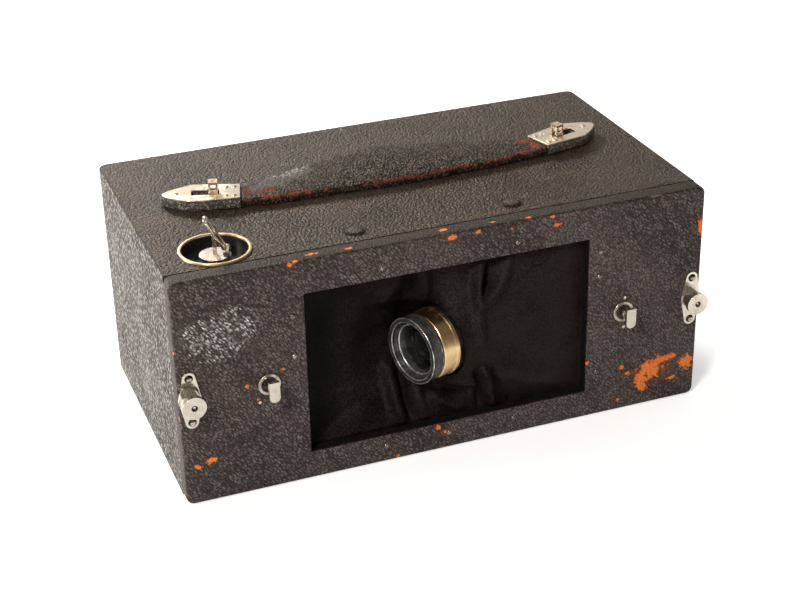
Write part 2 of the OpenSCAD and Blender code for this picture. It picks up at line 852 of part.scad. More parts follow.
// Folding leaf with a slot that lets the catch through
module key_leaf() {
    color(nickel_colour) at_leaf() rotate([0, -key_lean_deg, 0]) difference() {
        union() {
            bar_y(leaf_barrel_r, -leaf_half, leaf_half);
            translate([-leaf_t / 2, 0, 0]) rotate([90, 0, 90]) linear_extrude(leaf_t) {
                translate([-leaf_half, 0]) square([2 * leaf_half, key_leaf_len - leaf_half]);
                translate([0, key_leaf_len - leaf_half]) circle(leaf_half);
            }
        }
        bar_y(hinge_pin_r + running, -leaf_half - 1, leaf_half + 1);
        translate([-leaf_t, -leaf_slot / 2, leaf_foot])
            cube([2 * leaf_t, leaf_slot, key_leaf_len - leaf_half - leaf_foot]);
    }
}

// Handle

// The nose of an end plate, which narrows to a blunt point
function nose_points(w, from, nose) = let (steps = 6)
    [for (k = [-steps:steps]) [from + nose * (1 - pow(abs(k) / steps, nose_power)), w / 2 * k / steps]];

// Outline of an end plate from its square end, which lies at x = plate_from, grown all round by grow
module plate_outline(grow) {
    wide_at = plate_from + plate_len - nose_len;
    polygon(concat(
        [[plate_from, plate_end_w / 2 + grow], [plate_from, -plate_end_w / 2 - grow]],
        nose_points(plate_w + 2 * grow, wide_at, nose_len + grow)));
}

module handle_slot() {
    translate([staple_x - staple_w / 2 - slot_play, -slot_w / 2]) square([slot_len, slot_w]);
}

// Places the parts of a handle end, turned together about the middle of the staple
module at_handle(side) {
    translate([0, handle_y, 0]) mirror([side < 0 ? 1 : 0, 0, 0])
        translate([staple_x, 0, 0]) rotate([0, 0, end_turn]) translate([-staple_x, 0, 0]) children();
}

// Strap: widest in the middle, narrowing to the end plates
function strap_half_w(x) = strap_end_w / 2 + (strap_w - strap_end_w) / 2 * pow(cos(90 * x / strap_end), 0.8);

module handle_strap() {
    steps = 10;
    edge = [for (k = [-steps:steps]) let (x = strap_end * k / steps) [x, strap_half_w(abs(x))]];
    color(leather_colour) translate([0, handle_y, top_z + clear]) linear_extrude(strap_t)
        polygon(concat(edge, [for (k = [2 * steps:-1:0]) [edge[k].x, -edge[k].y]]));
}

module handle_tab(side) {
    color(leather_colour) at_handle(side) translate([0, 0, top_z + tab_lift])
        linear_extrude(tab_t) difference() {
        plate_outline(tab_grow);
        handle_slot();
    }
}

module handle_plate(side) {
    color(nickel_colour) at_handle(side) translate([0, 0, plate_z]) linear_extrude(plate_t) difference() {
        plate_outline(0);
        handle_slot();
    }
}

module handle_rivets(side) {
    row_x = plate_from + rivet_in;
    row_y = plate_end_w / 2 - rivet_in;
    tip_x = plate_from + plate_len - rivet_tip;
    color(nickel_colour) at_handle(side)
        for (p = concat([for (x = [row_x, row_x + rivet_step], y = [-row_y, row_y]) [x, y]], [[tip_x, 0]]))
            translate([p.x, p.y, plate_z + plate_t]) cylinder(r1 = rivet_r, r2 = rivet_r * 0.6, h = rivet_h);
}

module left_handle_tab() { handle_tab(-1); }
module right_handle_tab() { handle_tab(1); }
module left_handle_plate() { handle_plate(-1); }
module right_handle_plate() { handle_plate(1); }
module left_handle_rivets() { handle_rivets(-1); }
module right_handle_rivets() { handle_rivets(1); }

module staple_legs(side, grow) {
    bottom = ceiling_z + 1;
    height = plate_z + plate_t + staple_rise - bottom;
    at_handle(side) for (y = [-1, 1])
        translate([staple_x, y * (staple_span - staple_t) / 2, bottom - grow])
            translate([-staple_w / 2 - grow, -staple_t / 2 - grow, 0])
                cube([staple_w + 2 * grow, staple_t + 2 * grow, height]);
}

// Flat loops that stand through the slots of the end plates, with an eye through both legs
module handle_staples() {
    top = plate_z + plate_t + staple_rise;
    color(nickel_colour) for (side = [-1, 1]) difference() {
        union() {
            staple_legs(side, 0);
            at_handle(side) translate([staple_x - staple_w / 2, -staple_span / 2, top - staple_t])
                cube([staple_w, staple_span, staple_t]);
        }
        at_handle(side) translate([staple_x, 0, top - 2 * staple_t]) cylinder(r = staple_hole_r, h = 3 * staple_t);
        at_handle(side) translate([staple_x - staple_eye_w / 2, -staple_span, top - staple_t - staple_eye_h])
            cube([staple_eye_w, 2 * staple_span, staple_eye_h]);
    }
}

// Front fittings

module at_post(side) {
    translate([side * post_x, front_y, axis_z]) children();
}

// Straight sides of a post's plate, just inside the tangents of its disc and its two ears
function plate_sides(disc, ear, reach) =
    let (lean = asin((disc - ear) / reach),
         disc_x = disc * cos(lean), disc_z = disc * sin(lean),
         ear_x = ear * cos(lean), ear_z = reach + ear * sin(lean))
    [[disc_x, -disc_z], [disc_x, disc_z], [ear_x, ear_z], [-ear_x, ear_z],
     [-disc_x, disc_z], [-disc_x, -disc_z], [-ear_x, -ear_z], [ear_x, -ear_z]];

module post_plates() {
    color(nickel_colour) for (side = [-1, 1]) at_post(side) difference() {
        union() {
            bar_y(post_plate_r, -post_plate_t, 0);
            for (z = [-1, 1]) translate([0, 0, z * ear_spacing / 2]) bar_y(ear_r, -post_plate_t, 0);
            upright(-post_plate_t, 0)
                polygon(plate_sides(post_plate_r - plate_tuck, ear_r - plate_tuck, ear_spacing / 2));
        }
        bar_y(post_shaft_r + running, -post_plate_t - 1, 1);
    }
}

module post_plate_screws() {
    color(nickel_colour) for (side = [-1, 1], z = [-1, 1]) at_post(side)
        translate([0, -post_plate_t, z * ear_spacing / 2])
        difference() {
            intersection() {
                translate([0, screw_sunk, 0]) sphere(screw_ball_r);
                bar_y(screw_r, -screw_r, 0);
            }
            translate([-screw_ball_r, -screw_r, -screw_slot / 2])
                cube([2 * screw_ball_r, screw_ball_r - screw_sunk, screw_slot]);
        }
}

module post_screw(side) {
    color(nickel_colour) at_post(side) difference() {
        union() {
            bar_y(collar_post_r, -post_out + post_head_t, -post_plate_t - running);
            bar_y(post_head_r, -post_out, -post_out + post_head_t - post_bevel);
            bar_y(post_head_r - post_bevel, -post_out + post_head_t - post_bevel, -post_out + post_head_t);
            bar_y(post_shaft_r, -post_plate_t - running, front_t + post_grip);
        }
        translate([0, -post_out, 0]) sphere(dimple_r);
    }
}

module left_post_screw() { post_screw(-1); }
module right_post_screw() { post_screw(1); }

module at_lever(side) {
    translate([side * lever_x, front_y, axis_z]) children();
}

module lever_rings() {
    color(nickel_colour) for (side = [-1, 1]) at_lever(side) difference() {
        bar_y(ring_r, -ring_t, 0);
        bar_y(ring_in_r, -ring_t - 1, 1);
    }
}

module stop_pins() {
    color(nickel_colour) {
        at_lever(-1) translate([-stop_pin_side, 0, -stop_pin_drop]) bar_y(stop_pin_r, -stop_pin_out, 0);
        for (z = [-1, 1]) at_lever(1) translate([0, 0, z * stop_pin_drop]) bar_y(stop_pin_r, -stop_pin_out, 0);
    }
}

// Lever: a shaft through the board with a flat tab that is round at its lower end
module lever(side) {
    color(nickel_colour) at_lever(side) {
        bar_y(lever_shaft_r, -lever_out + lever_tab_t, front_t + clear + pawl_t);
        translate([0, -lever_out, 0]) upright(0, lever_tab_t) {
            translate([-tab_w / 2, -tab_h / 2 + tab_w / 2]) square([tab_w, tab_h - tab_w / 2]);
            translate([0, -tab_h / 2 + tab_w / 2]) circle(tab_w / 2);
        }
    }
}

// Arm on the inner end of a lever's shaft that holds the swing back
module pawl(side) {
    color(steel_colour) at_lever(side) translate([0, front_t + clear, 0]) mirror([side > 0 ? 1 : 0, 0, 0])
        upright(0, pawl_t) difference() {
            union() {
                circle(pawl_half + pawl_boss);
                translate([0, -pawl_half]) square([pawl_len - pawl_half, 2 * pawl_half]);
                translate([pawl_len - pawl_half, 0]) circle(pawl_half);
            }
            circle(lever_shaft_r);
        }
}

module left_lever() { lever(-1); }
module right_lever() { lever(1); }
module left_pawl() { pawl(-1); }
module right_pawl() { pawl(1); }

// Top, back and base fittings

module plug_caps() {
    color(leather_colour) for (side = [-1, 1]) translate([side * cap_x, front_y + cap_back, top_z])
        rotate_extrude() polygon(concat([[0, 0], [cap_r, 0]], crown(cap_r, cap_bulge_r, cap_h)));
}

module red_window() {
    color(ruby_colour) translate([0, 0, red_window_z])
        bar_y(window_red_r - running, back_in + pane_in, back_in + pane_in + pane_t);
}

module window_bezel() {
    color(brass_colour) translate([0, 0, red_window_z]) difference() {
        union() {
            bar_y(bezel_r, back_y, back_y + bezel_t);
            bar_y(window_red_r, back_in + pane_in + pane_t, back_y);
        }
        bar_y(window_red_r - pane_lip, back_in, back_y + bezel_t + 1);
    }
}

// Threaded bush let into the bottom board, closed at the top
module tripod_bush() {
    color(brass_colour) translate([0, bush_y, 0]) difference() {
        cylinder(r = bush_r, h = tripod_deep + bush_cap);
        translate([0, 0, -1]) cylinder(r = tripod_r, h = tripod_deep + 1);
    }
}

top_board();
bottom_board();
left_end_board();
right_end_board();
back_board();
case_leather();
front_board();
front_leather();
front_tacks();
curtain_frame();
curtain();
upper_pivot_bracket();
lower_pivot_bracket();
swing_spring();
spring_post();
lens_yoke();
lens_tube();
lens_flange();
lens_hood();
front_glass();
rear_glass();
aperture_plate();
slit_cone();
upper_film_gate();
lower_film_gate();
film_band();
left_guide_roller();
right_guide_roller();
spool_pins();
takeup_spool();
takeup_film();
supply_spool();
supply_film();
key_cup();
key_rim();
key_disc();
key_hinge_pin();
key_leaf();
handle_strap();
left_handle_tab();
right_handle_tab();
left_handle_plate();
right_handle_plate();
left_handle_rivets();
right_handle_rivets();
handle_staples();
post_plates();
post_plate_screws();
left_post_screw();
right_post_screw();
lever_rings();
stop_pins();
left_lever();
right_lever();
left_pawl();
right_pawl();
plug_caps();
red_window();
window_bezel();
tripod_bush();
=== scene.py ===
from math import copysign, cos, exp, hypot, pi, radians, sin

import bmesh
import bpy
from mathutils import Matrix, Vector


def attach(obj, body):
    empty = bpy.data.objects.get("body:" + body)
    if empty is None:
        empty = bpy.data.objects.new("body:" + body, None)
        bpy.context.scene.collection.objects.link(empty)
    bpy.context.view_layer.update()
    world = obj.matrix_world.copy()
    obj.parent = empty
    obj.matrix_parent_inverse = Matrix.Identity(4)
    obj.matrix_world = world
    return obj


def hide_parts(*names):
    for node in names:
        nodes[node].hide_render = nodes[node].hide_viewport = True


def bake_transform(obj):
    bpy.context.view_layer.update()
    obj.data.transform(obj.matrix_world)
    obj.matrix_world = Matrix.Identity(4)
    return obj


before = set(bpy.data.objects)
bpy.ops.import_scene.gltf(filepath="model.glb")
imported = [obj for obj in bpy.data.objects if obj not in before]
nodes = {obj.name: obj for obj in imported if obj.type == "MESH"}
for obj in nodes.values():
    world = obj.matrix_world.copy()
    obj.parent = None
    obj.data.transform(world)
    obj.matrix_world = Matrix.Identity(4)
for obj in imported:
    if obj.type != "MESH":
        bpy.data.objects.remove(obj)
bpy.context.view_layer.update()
scene = bpy.context.scene
mm = 0.001
print("frame loaded with", len(nodes), "nodes")


# places shared by several pieces, in mm as in the CAD source
case = {"half": 136.1, "top": 117.6, "front": -75.5, "seam": -66, "back": 75.5, "cornerRadius": 4.5}
board = {"half": 136.5, "top": 118}
window = {"halfWidth": 73.5, "halfHeight": 43, "centre": 57.6, "rebate": -69.3}
lens = {"pivotY": -66, "swing": radians(71)}
key = {"x": -107.034, "y": -48, "cupRadius": 16.45}
handle = {"y": 4, "bottom": 117.9, "staple": 93, "turn": radians(16)}
plugCaps = {"x": (-40.5, 40.5), "y": -54.5}
posts = {"x": (-131, 131), "screwZ": (46, 69.2)}


# mesh helpers

def newPiece(name, points, faces, sharpDeg=38):
    mesh = bpy.data.meshes.new(name)
    mesh.from_pydata([Vector(p) * mm for p in points], [], faces)
    work = bmesh.new()
    work.from_mesh(mesh)
    bmesh.ops.recalc_face_normals(work, faces=work.faces)
    work.to_mesh(mesh)
    work.free()
    shadeMesh(mesh, sharpDeg)
    piece = bpy.data.objects.new(name, mesh)
    scene.collection.objects.link(piece)
    return piece


def shadeMesh(mesh, sharpDeg=38):
    mesh.shade_smooth()
    mesh.set_sharp_from_angle(angle=radians(sharpDeg))


def gridFaces(rows, columns, closed, start=0):
    faces = []
    for j in range(rows - 1):
        for i in range(columns if closed else columns - 1):
            a, b = start + j * columns + i, start + j * columns + (i + 1) % columns
            faces.append((a, b, b + columns, a + columns))
    return faces


# looped joins the last ring to the first, else both ends are capped
def loft(name, rings, looped=False, sharpDeg=38):
    count = len(rings[0])
    points = [p for ring in rings for p in ring]
    faces = gridFaces(len(rings), count, True)
    last = (len(rings) - 1) * count
    if looped:
        faces += [(last + i, last + (i + 1) % count, (i + 1) % count, i) for i in range(count)]
    else:
        faces += [tuple(range(count)), tuple(last + i for i in range(count))]
    return newPiece(name, points, faces, sharpDeg)


def settle(piece):  # bakes the modifiers into the mesh
    graph = bpy.context.evaluated_depsgraph_get()
    mesh = bpy.data.meshes.new_from_object(piece.evaluated_get(graph))
    piece.modifiers.clear()
    piece.data = mesh
    shadeMesh(mesh)


def cutOut(piece, cutters):
    for cutter in cutters:
        cut = piece.modifiers.new("cut", "BOOLEAN")
        cut.operation, cut.solver, cut.object = "DIFFERENCE", "EXACT", cutter
    settle(piece)
    for cutter in cutters:
        bpy.data.objects.remove(cutter)
    return piece


def quarterTurns(steps, startDeg=0):
    return [radians(startDeg + 90 * k / steps) for k in range(steps + 1)]


def fullTurns(sides):
    return [2 * pi * k / sides for k in range(sides)]


def roundBar(name, radius, base, along, sides=64):  # a plain bar that only serves as a cutter
    base, along = Vector(base), Vector(along)
    u = along.orthogonal().normalized()
    v = along.normalized().cross(u)
    ring = [base + radius * (u * cos(a) + v * sin(a)) for a in fullTurns(sides)]
    return loft(name, [ring, [p + along for p in ring]])


def between(a, b, t):
    return tuple(p + (q - p) * t for p, q in zip(a, b))


def roundRect(halfWidth, low, high, radius, y, sideSteps=14, cornerSteps=5):
    arcs = []
    for k, (sx, sz) in enumerate([(1, 1), (-1, 1), (-1, -1), (1, -1)]):
        cx = sx * (halfWidth - radius)
        cz = high - radius if sz > 0 else low + radius
        turns = quarterTurns(cornerSteps, 90 * k)
        arcs.append([(cx + radius * cos(a), cz + radius * sin(a)) for a in turns])
    points = []
    for k, arc in enumerate(arcs):
        goal = arcs[(k + 1) % 4][0]
        points += arc + [between(arc[-1], goal, s / sideSteps) for s in range(1, sideSteps)]
    return [(x, y, z) for x, z in points]


# node helpers

class Graph:  # a node tree, with a short call for each kind of node
    def __init__(self, tree):
        self.tree = tree

    def add(self, kind, **settings):
        node = self.tree.nodes.new("ShaderNode" + kind)
        for name, value in settings.items():
            setattr(node, name, value)
        return node

    def put(self, socket, value):  # links another socket, or sets a number, a vector or an (r, g, b) colour
        if isinstance(value, bpy.types.NodeSocket):
            self.tree.links.new(value, socket)
        else:
            socket.default_value = (*value, 1) if socket.type == "RGBA" else value

    def putAll(self, sockets, values):
        for name, value in values.items():
            self.put(sockets[name], value)

    def feed(self, node, values):
        for socket, value in zip(node.inputs, values):
            self.put(socket, value)
        return node.outputs

    def math(self, operation, *values, clamp=False):
        return self.feed(self.add("Math", operation=operation, use_clamp=clamp), values)[0]

    def times(self, a, b):
        return self.math("MULTIPLY", a, b)

    def timesAdd(self, a, b, c):
        return self.math("MULTIPLY_ADD", a, b, c)

    def least(self, values):
        result = values[0]
        for value in values[1:]:
            result = self.math("MINIMUM", result, value)
        return result

    def vector(self, operation, *values):
        out = self.feed(self.add("VectorMath", operation=operation), values)
        return out["Value" if operation in ("LENGTH", "DOT_PRODUCT", "DISTANCE") else "Vector"]

    def split(self, vector):  # x, y and z
        return self.feed(self.add("SeparateXYZ"), [vector])

    def ramp(self, value, low, high, toLow=0, toHigh=1):
        node = self.add("MapRange", interpolation_type="SMOOTHSTEP")
        return self.feed(node, (value, low, high, toLow, toHigh))[0]

    def fade(self, value, low, high):  # 1 up to low, 0 from high on
        return self.ramp(value, low, high, 1, 0)

    def mix(self, mask, a, b, kind="MIX"):
        node = self.add("Mix", data_type="RGBA", blend_type=kind)
        for index, value in ((0, mask), (6, a), (7, b)):  # the colour sockets
            self.put(node.inputs[index], value)
        return node.outputs[2]

    def noise(self, vector, scale, detail=2, output=0):
        node = self.add("TexNoise")
        self.putAll(node.inputs, {"Vector": vector, "Scale": scale, "Detail": detail})
        return node.outputs[output]

    def cells(self, vector, scale, feature="F1", output="Distance", smoothness=0.4):
        node = self.add("TexVoronoi", feature=feature)
        self.putAll(node.inputs, {"Vector": vector, "Scale": scale})
        if feature == "SMOOTH_F1":
            node.inputs["Smoothness"].default_value = smoothness
        return node.outputs[output]

    def bump(self, height, strength, distance):
        node = self.add("Bump")
        self.putAll(node.inputs, {"Strength": strength, "Distance": distance, "Height": height})
        return node.outputs["Normal"]

    def use(self, group, **values):
        node = self.add("Group", node_tree=group)
        self.putAll(node.inputs, values)
        return node.outputs


def newGroup(name, labels, build):  # build takes a graph and the inputs, and gives the outputs by name
    tree = bpy.data.node_groups.new(name, "ShaderNodeTree")
    for label in labels:
        kind = "NodeSocketVector" if label in ("Vector", "Low", "High") else "NodeSocketFloat"
        tree.interface.new_socket(name=label, in_out="INPUT", socket_type=kind)
    g, into = Graph(tree), tree.nodes.new("NodeGroupInput").outputs
    results = build(g, *(into[label] for label in labels))
    for label in results:
        tree.interface.new_socket(name=label, in_out="OUTPUT", socket_type="NodeSocketFloat")
    g.putAll(tree.nodes.new("NodeGroupOutput").inputs, results)
    return tree


# build takes a graph, the coordinates and a look, and gives the shader's inputs
def newMaterial(name, build, look):
    material = bpy.data.materials.new(name)
    material.use_nodes = True
    g = Graph(material.node_tree)
    g.putAll(g.tree.nodes["Principled BSDF"].inputs, build(g, g.add("TexCoord").outputs["Object"], look))
    return material


# effects that several materials share; scales are per metre, or shares of the scale that is fed in

pebble = {"wobble": 0.45, "push": 1.1, "crease": (0.02, 0.2), "creaseDepth": 0.35, "fine": 2.6,
          "fineHeight": 0.5, "worn": 0.3, "wornHeight": 1.1, "tip": (1.25, 1.75), "tone": 34}


def buildPebbles(g, coords, scale, size=pebble):  # rounded pebbles with creases between them and rubbed tips
    wobble = g.noise(coords, g.times(scale, size["wobble"]), 2, 1)
    push = g.vector("SCALE", g.vector("SUBTRACT", wobble, (0.5, 0.5, 0.5)))
    g.put(push.node.inputs["Scale"], g.math("DIVIDE", size["push"], scale))
    place = g.vector("ADD", coords, push)
    dome = g.math("SUBTRACT", 1, g.cells(place, scale, "SMOOTH_F1"))
    crease = g.fade(g.cells(place, scale, "DISTANCE_TO_EDGE"), *size["crease"])
    height = g.timesAdd(g.noise(coords, g.times(scale, size["fine"]), 3), size["fineHeight"], dome)
    worn = g.noise(coords, g.times(scale, size["worn"]), 3)
    return {"Height": g.timesAdd(crease, -size["creaseDepth"], height), "Crease": crease,
            "Tip": g.ramp(g.timesAdd(worn, size["wornHeight"], height), *size["tip"]),
            "Tone": g.noise(coords, size["tone"], 4)}


# rubbing along a box's edges
def buildEdgeWear(g, coords, low, high, width, amount, scale=190, worn=(0.86, 1.02)):
    inside = g.vector("MINIMUM", g.vector("SUBTRACT", coords, low), g.vector("SUBTRACT", high, coords))
    x, y, z = g.split(inside)
    middle = g.math("MAXIMUM", g.math("MINIMUM", x, y), g.math("MINIMUM", g.math("MAXIMUM", x, y), z))
    band = g.fade(g.math("DIVIDE", middle, width), 0, 1)
    patchy = g.math("ADD", g.noise(coords, scale, 5), g.times(amount, band))
    return {"Mask": g.times(g.ramp(patchy, *worn), band)}


# turns a distance, 1 at a spot's edge, into a torn patch
def buildFrayedSpot(g, coords, distance, fray, scale=520, ragged=0.76, rim=(0.84, 0.96)):
    noise = g.noise(coords, scale, 7)
    noise.node.inputs["Roughness"].default_value = ragged
    return {"Mask": g.fade(g.timesAdd(g.math("SUBTRACT", noise, 0.5), fray, distance), *rim)}


ageing = {"cloud": (0.42, 0.72), "drawn": (0.16, 1, 0.55), "scratches": 22, "specks": 5, "speck": (0.1, 0.24)}


def buildAgedMetal(g, coords, scale, size=ageing):  # cloudy tarnish, fine scratches and dark specks
    drawn = g.vector("MULTIPLY", coords, size["drawn"])
    return {"Tarnish": g.ramp(g.noise(coords, scale, 5), *size["cloud"]),
            "Scratch": g.noise(drawn, g.times(scale, size["scratches"]), 4),
            "Speck": g.fade(g.cells(coords, g.times(scale, size["specks"])), *size["speck"])}


# plain weave seen square to the window
def buildClothWeave(g, coords, scale, lint=900, clouds=60, fuzz=1300, fuzzy=(0.3, 0.7)):
    x, _, z = g.split(coords)
    warp, weft = (g.math("SINE", g.times(v, scale)) for v in (x, z))
    return {"Height": g.timesAdd(warp, weft, g.noise(coords, lint, 3)), "Tone": g.noise(coords, clouds, 4),
            "Fuzz": g.ramp(g.noise(coords, fuzz, 2), *fuzzy)}


# a band of painted shade whose outside is at a distance of 1
def buildPaintedShadeRing(g, distance, start, inner=0.2, outer=1.15):
    begun = g.ramp(distance, start, g.math("ADD", start, inner))
    return {"Mask": g.times(begun, g.fade(distance, 1, outer))}


rub = {"fade": (0.3, 1.1), "patches": 260, "patchy": 1.3, "inner": 0.6, "dots": (1.34, 1.6),
       "tips": (0.25, 0.6), "begin": (0, 0.3), "strength": (0, 0.7, 0.25, 1)}


# pebbles rubbed to white, thinning out to a distance of 1
def buildRubbedTips(g, coords, distance, scale, size=rub):
    inside = g.fade(distance, *size["fade"])
    chance, strength, _ = g.feed(g.add("SeparateColor"), [g.cells(coords, scale, "F1", "Color")])
    patchy = g.timesAdd(g.noise(coords, size["patches"], 3), size["patchy"], chance)
    dots = g.ramp(g.timesAdd(inside, size["inner"], patchy), *size["dots"])
    tips = g.fade(g.cells(coords, scale), *size["tips"])
    dots = g.times(g.times(dots, tips), g.ramp(inside, *size["begin"]))
    return {"Mask": g.times(dots, g.ramp(strength, *size["strength"]))}


pebbleGrain = newGroup("pebbleGrain", ["Vector", "Scale"], buildPebbles)
edgeWear = newGroup("edgeWear", ["Vector", "Low", "High", "Width", "Amount"], buildEdgeWear)
frayedSpot = newGroup("frayedSpot", ["Vector", "Distance", "Fray"], buildFrayedSpot)
agedMetal = newGroup("agedMetal", ["Vector", "Scale"], buildAgedMetal)
clothWeave = newGroup("clothWeave", ["Vector", "Scale"], buildClothWeave)
paintedShadeRing = newGroup("paintedShadeRing", ["Distance", "From"], buildPaintedShadeRing)
rubbedTips = newGroup("rubbedTips", ["Vector", "Distance", "Scale"], buildRubbedTips)
print("effect groups made")


# materials

# least distance to (x, y, z, rx, ry, rz) spots in mm; a radius of 0 ignores that axis
def spotDistance(g, coords, spots):
    away = []
    for spot in spots:
        scale = [1 / (r * mm) if r else 0 for r in spot[3:]]
        offset = [-p * mm * s for p, s in zip(spot[:3], scale)]
        away.append(g.vector("LENGTH", g.vector("MULTIPLY_ADD", coords, scale, offset)))
    return g.least(away)


# painted shade: a dark ring round plug caps, screw heads and post heads
def addPaintedShade(g, coords, colour, look):
    distance = spotDistance(g, coords, look["rings"])
    return g.mix(g.use(paintedShadeRing, Distance=distance, From=look["ringFrom"])["Mask"], colour, look["dirt"])


# 1 on the window's walls, behind its front edge
def windowWalls(g, coords, reach=0.4, depth=(0.5, 1.2), soft=0.1):
    away = g.vector("ABSOLUTE", g.vector("SUBTRACT", coords, (0, 0, window["centre"] * mm)))
    limit = ((window["halfWidth"] + reach) * mm, 0, (window["halfHeight"] + reach) * mm)
    x, _, z = g.split(g.vector("SUBTRACT", away, limit))
    behind = g.ramp(g.split(coords)[1], *((case["front"] + d) * mm for d in depth))
    return g.times(g.fade(g.math("MAXIMUM", x, z), 0, soft * mm), behind)


leather = {"tone": (0.35, 0.7), "roughTone": (0.3, 0.75), "creaseAmount": 0.75, "endSoft": 0.5,
           "tipPolishAndSheen": 0.35, "polish": (0.5, 1.3, 0, 0.65), "upperFrom": (-1, -0.2), "tornGrain": 800,
           "tornRough": 0.3}


def buildLeather(g, coords, look, size=leather):
    x, _, z = g.split(coords)
    place, coat = coords, {}
    if "streak" in look:  # grain drawn out at a slant
        angle, length = look["streak"]
        turn = g.add("VectorRotate", rotation_type="Y_AXIS")
        g.putAll(turn.inputs, {"Vector": coords, "Angle": radians(angle)})
        place = g.vector("MULTIPLY", turn.outputs[0], (1 / length, 1, 1))
    scale, ends = look["grain"], look.get("ends")
    if ends:  # coarser leather on the two ends of the case, with pale tips that are painted sheen
        atEnd = g.ramp(g.math("ABSOLUTE", x), ends["from"] * mm, (ends["from"] + size["endSoft"]) * mm)
        scale = g.timesAdd(atEnd, ends["grain"] - scale, scale)
    grain = g.use(pebbleGrain, Vector=place, Scale=scale)
    height, rough = grain["Height"], g.ramp(grain["Tone"], *size["roughTone"], *look["shine"])
    colour = g.mix(g.ramp(grain["Tone"], *size["tone"]), look["dark"], look["pale"])
    # paler pebble tips: rubbed wear, and in part a painted highlight
    colour = g.mix(grain["Tip"], colour, look["tip"])
    if ends:  # polished tips with a coat that shines when seen at a slant; their pale colour is painted sheen
        polishAndSheen = g.timesAdd(grain["Tip"], size["tipPolishAndSheen"], g.ramp(height, *size["polish"]))
        colour = g.mix(atEnd, colour, g.mix(polishAndSheen, ends["dark"], ends["tip"]))
        height = g.times(height, g.timesAdd(atEnd, ends["deeper"], 1))
        coat = {"Coat Weight": g.times(polishAndSheen, atEnd), "Coat Roughness": ends["rough"],
                "Coat IOR": ends["index"]}
    # darker creases between the pebbles: painted shade
    colour = g.mix(g.times(grain["Crease"], size["creaseAmount"]), colour, look["crease"])
    if "upper" in look:  # painted shade: the side that faces up is painted darker
        up = g.ramp(z, *((board["top"] + d) * mm for d in size["upperFrom"]))
        colour = g.mix(up, colour, g.mix(1, colour, look["upper"], "MULTIPLY"))
    if "box" in look:
        low, high = ([v * mm for v in corner] for corner in look["box"])
        rubbed = g.use(edgeWear, Vector=coords, Low=low, High=high, Width=look["edge"] * mm,
                       Amount=look["edgeAmount"])
        colour = g.mix(rubbed["Mask"], colour, look["rubbed"])
    for patch in look.get("patches", []):
        distance = spotDistance(g, coords, patch["spots"])
        torn = g.use(frayedSpot, Vector=coords, Distance=distance, Fray=patch["fray"])["Mask"]
        mask = g.times(torn, patch["amount"])
        fibres = g.mix(g.noise(coords, size["tornGrain"], 3), patch["deep"], patch["light"])
        colour = g.mix(mask, colour, fibres)
        rough = g.math("MULTIPLY_ADD", mask, size["tornRough"], rough, clamp=True)
        height = g.timesAdd(mask, -patch["sunk"], height)
    # the window's walls are made near black
    if "lining" in look:
        colour = g.mix(windowWalls(g, coords), colour, look["lining"])
    if "rings" in look:
        colour = addPaintedShade(g, coords, colour, look)
    if "sparkle" in look:
        distance = spotDistance(g, coords, look["sparkle"])
        dots = g.use(rubbedTips, Vector=place, Distance=distance, Scale=look["speckSize"])["Mask"]
        colour = g.mix(dots, colour, look["speck"])
    return {**coat, "Base Color": colour, "Roughness": rough, "Specular IOR Level": look["gloss"],
            "Normal": g.bump(height, 1, look["relief"] / look["grain"])}


metal = {"scratchRough": 0.4, "rough": (0.1, 1.2), "bump": 0.1, "shadeGrain": 150, "shadeFrom": 0.25,
         "shadeAmount": 0.6, "rimGrain": 220, "rimRagged": 1.1, "rim": (0.65, 0.95), "rimMetal": 0.9}


def buildMetal(g, coords, look, size=metal):
    aged, metallic = g.use(agedMetal, Vector=coords, Scale=look["scale"]), look["metallic"]
    colour = g.mix(g.times(aged["Tarnish"], look["tarnishing"]), look["bright"], look["tarnish"])
    colour = g.mix(g.times(aged["Speck"], look["specks"]), colour, look["dark"])
    dull = g.timesAdd(aged["Scratch"], size["scratchRough"], aged["Tarnish"])
    rough = g.ramp(dull, *size["rough"], *look["shine"])
    if "shade" in look:  # painted shade: one side of a turned piece is painted darker
        point, direction, span = look["shade"]
        along = g.vector("DOT_PRODUCT", g.vector("SUBTRACT", coords, [v * mm for v in point]), direction)
        ragged = g.timesAdd(g.noise(coords, size["shadeGrain"], 5), span * mm, along)
        side = g.ramp(ragged, size["shadeFrom"] * span * mm, span * mm)
        colour = g.mix(g.times(side, size["shadeAmount"]), colour, look["lacquer"])
    if "rims" in look:
        # lacquer worn to bare metal along rims, each at a distance along the lens's axis and a radius
        axis = Vector((-sin(lens["swing"]), -cos(lens["swing"]), 0))
        shift = g.vector("SUBTRACT", coords, Vector((0, lens["pivotY"], window["centre"])) * mm)
        radial = g.vector("LENGTH", g.vector("CROSS_PRODUCT", shift, axis))
        section = g.feed(g.add("CombineXYZ"), [g.vector("DOT_PRODUCT", shift, axis), radial])[0]
        near = g.least([g.vector("DISTANCE", section, (a * mm, r * mm, 0)) for a, r in look["rims"]])
        ragged = g.timesAdd(g.noise(coords, size["rimGrain"], 5), size["rimRagged"] * mm, near)
        bare = g.fade(ragged, *(v * mm for v in size["rim"]))
        colour = g.mix(bare, colour, look["bare"])
        metallic = g.times(bare, size["rimMetal"])
    if "rings" in look:
        colour = addPaintedShade(g, coords, colour, look)
    return {"Base Color": colour, "Roughness": rough, "Metallic": metallic,
            "Normal": g.bump(aged["Scratch"], look["relief"], size["bump"] * mm)}


cloth = {"tone": (0.4, 1.5), "rough": (0.2, 0.8, 0.42, 0.58), "relief": 0.35, "bump": 0.12}


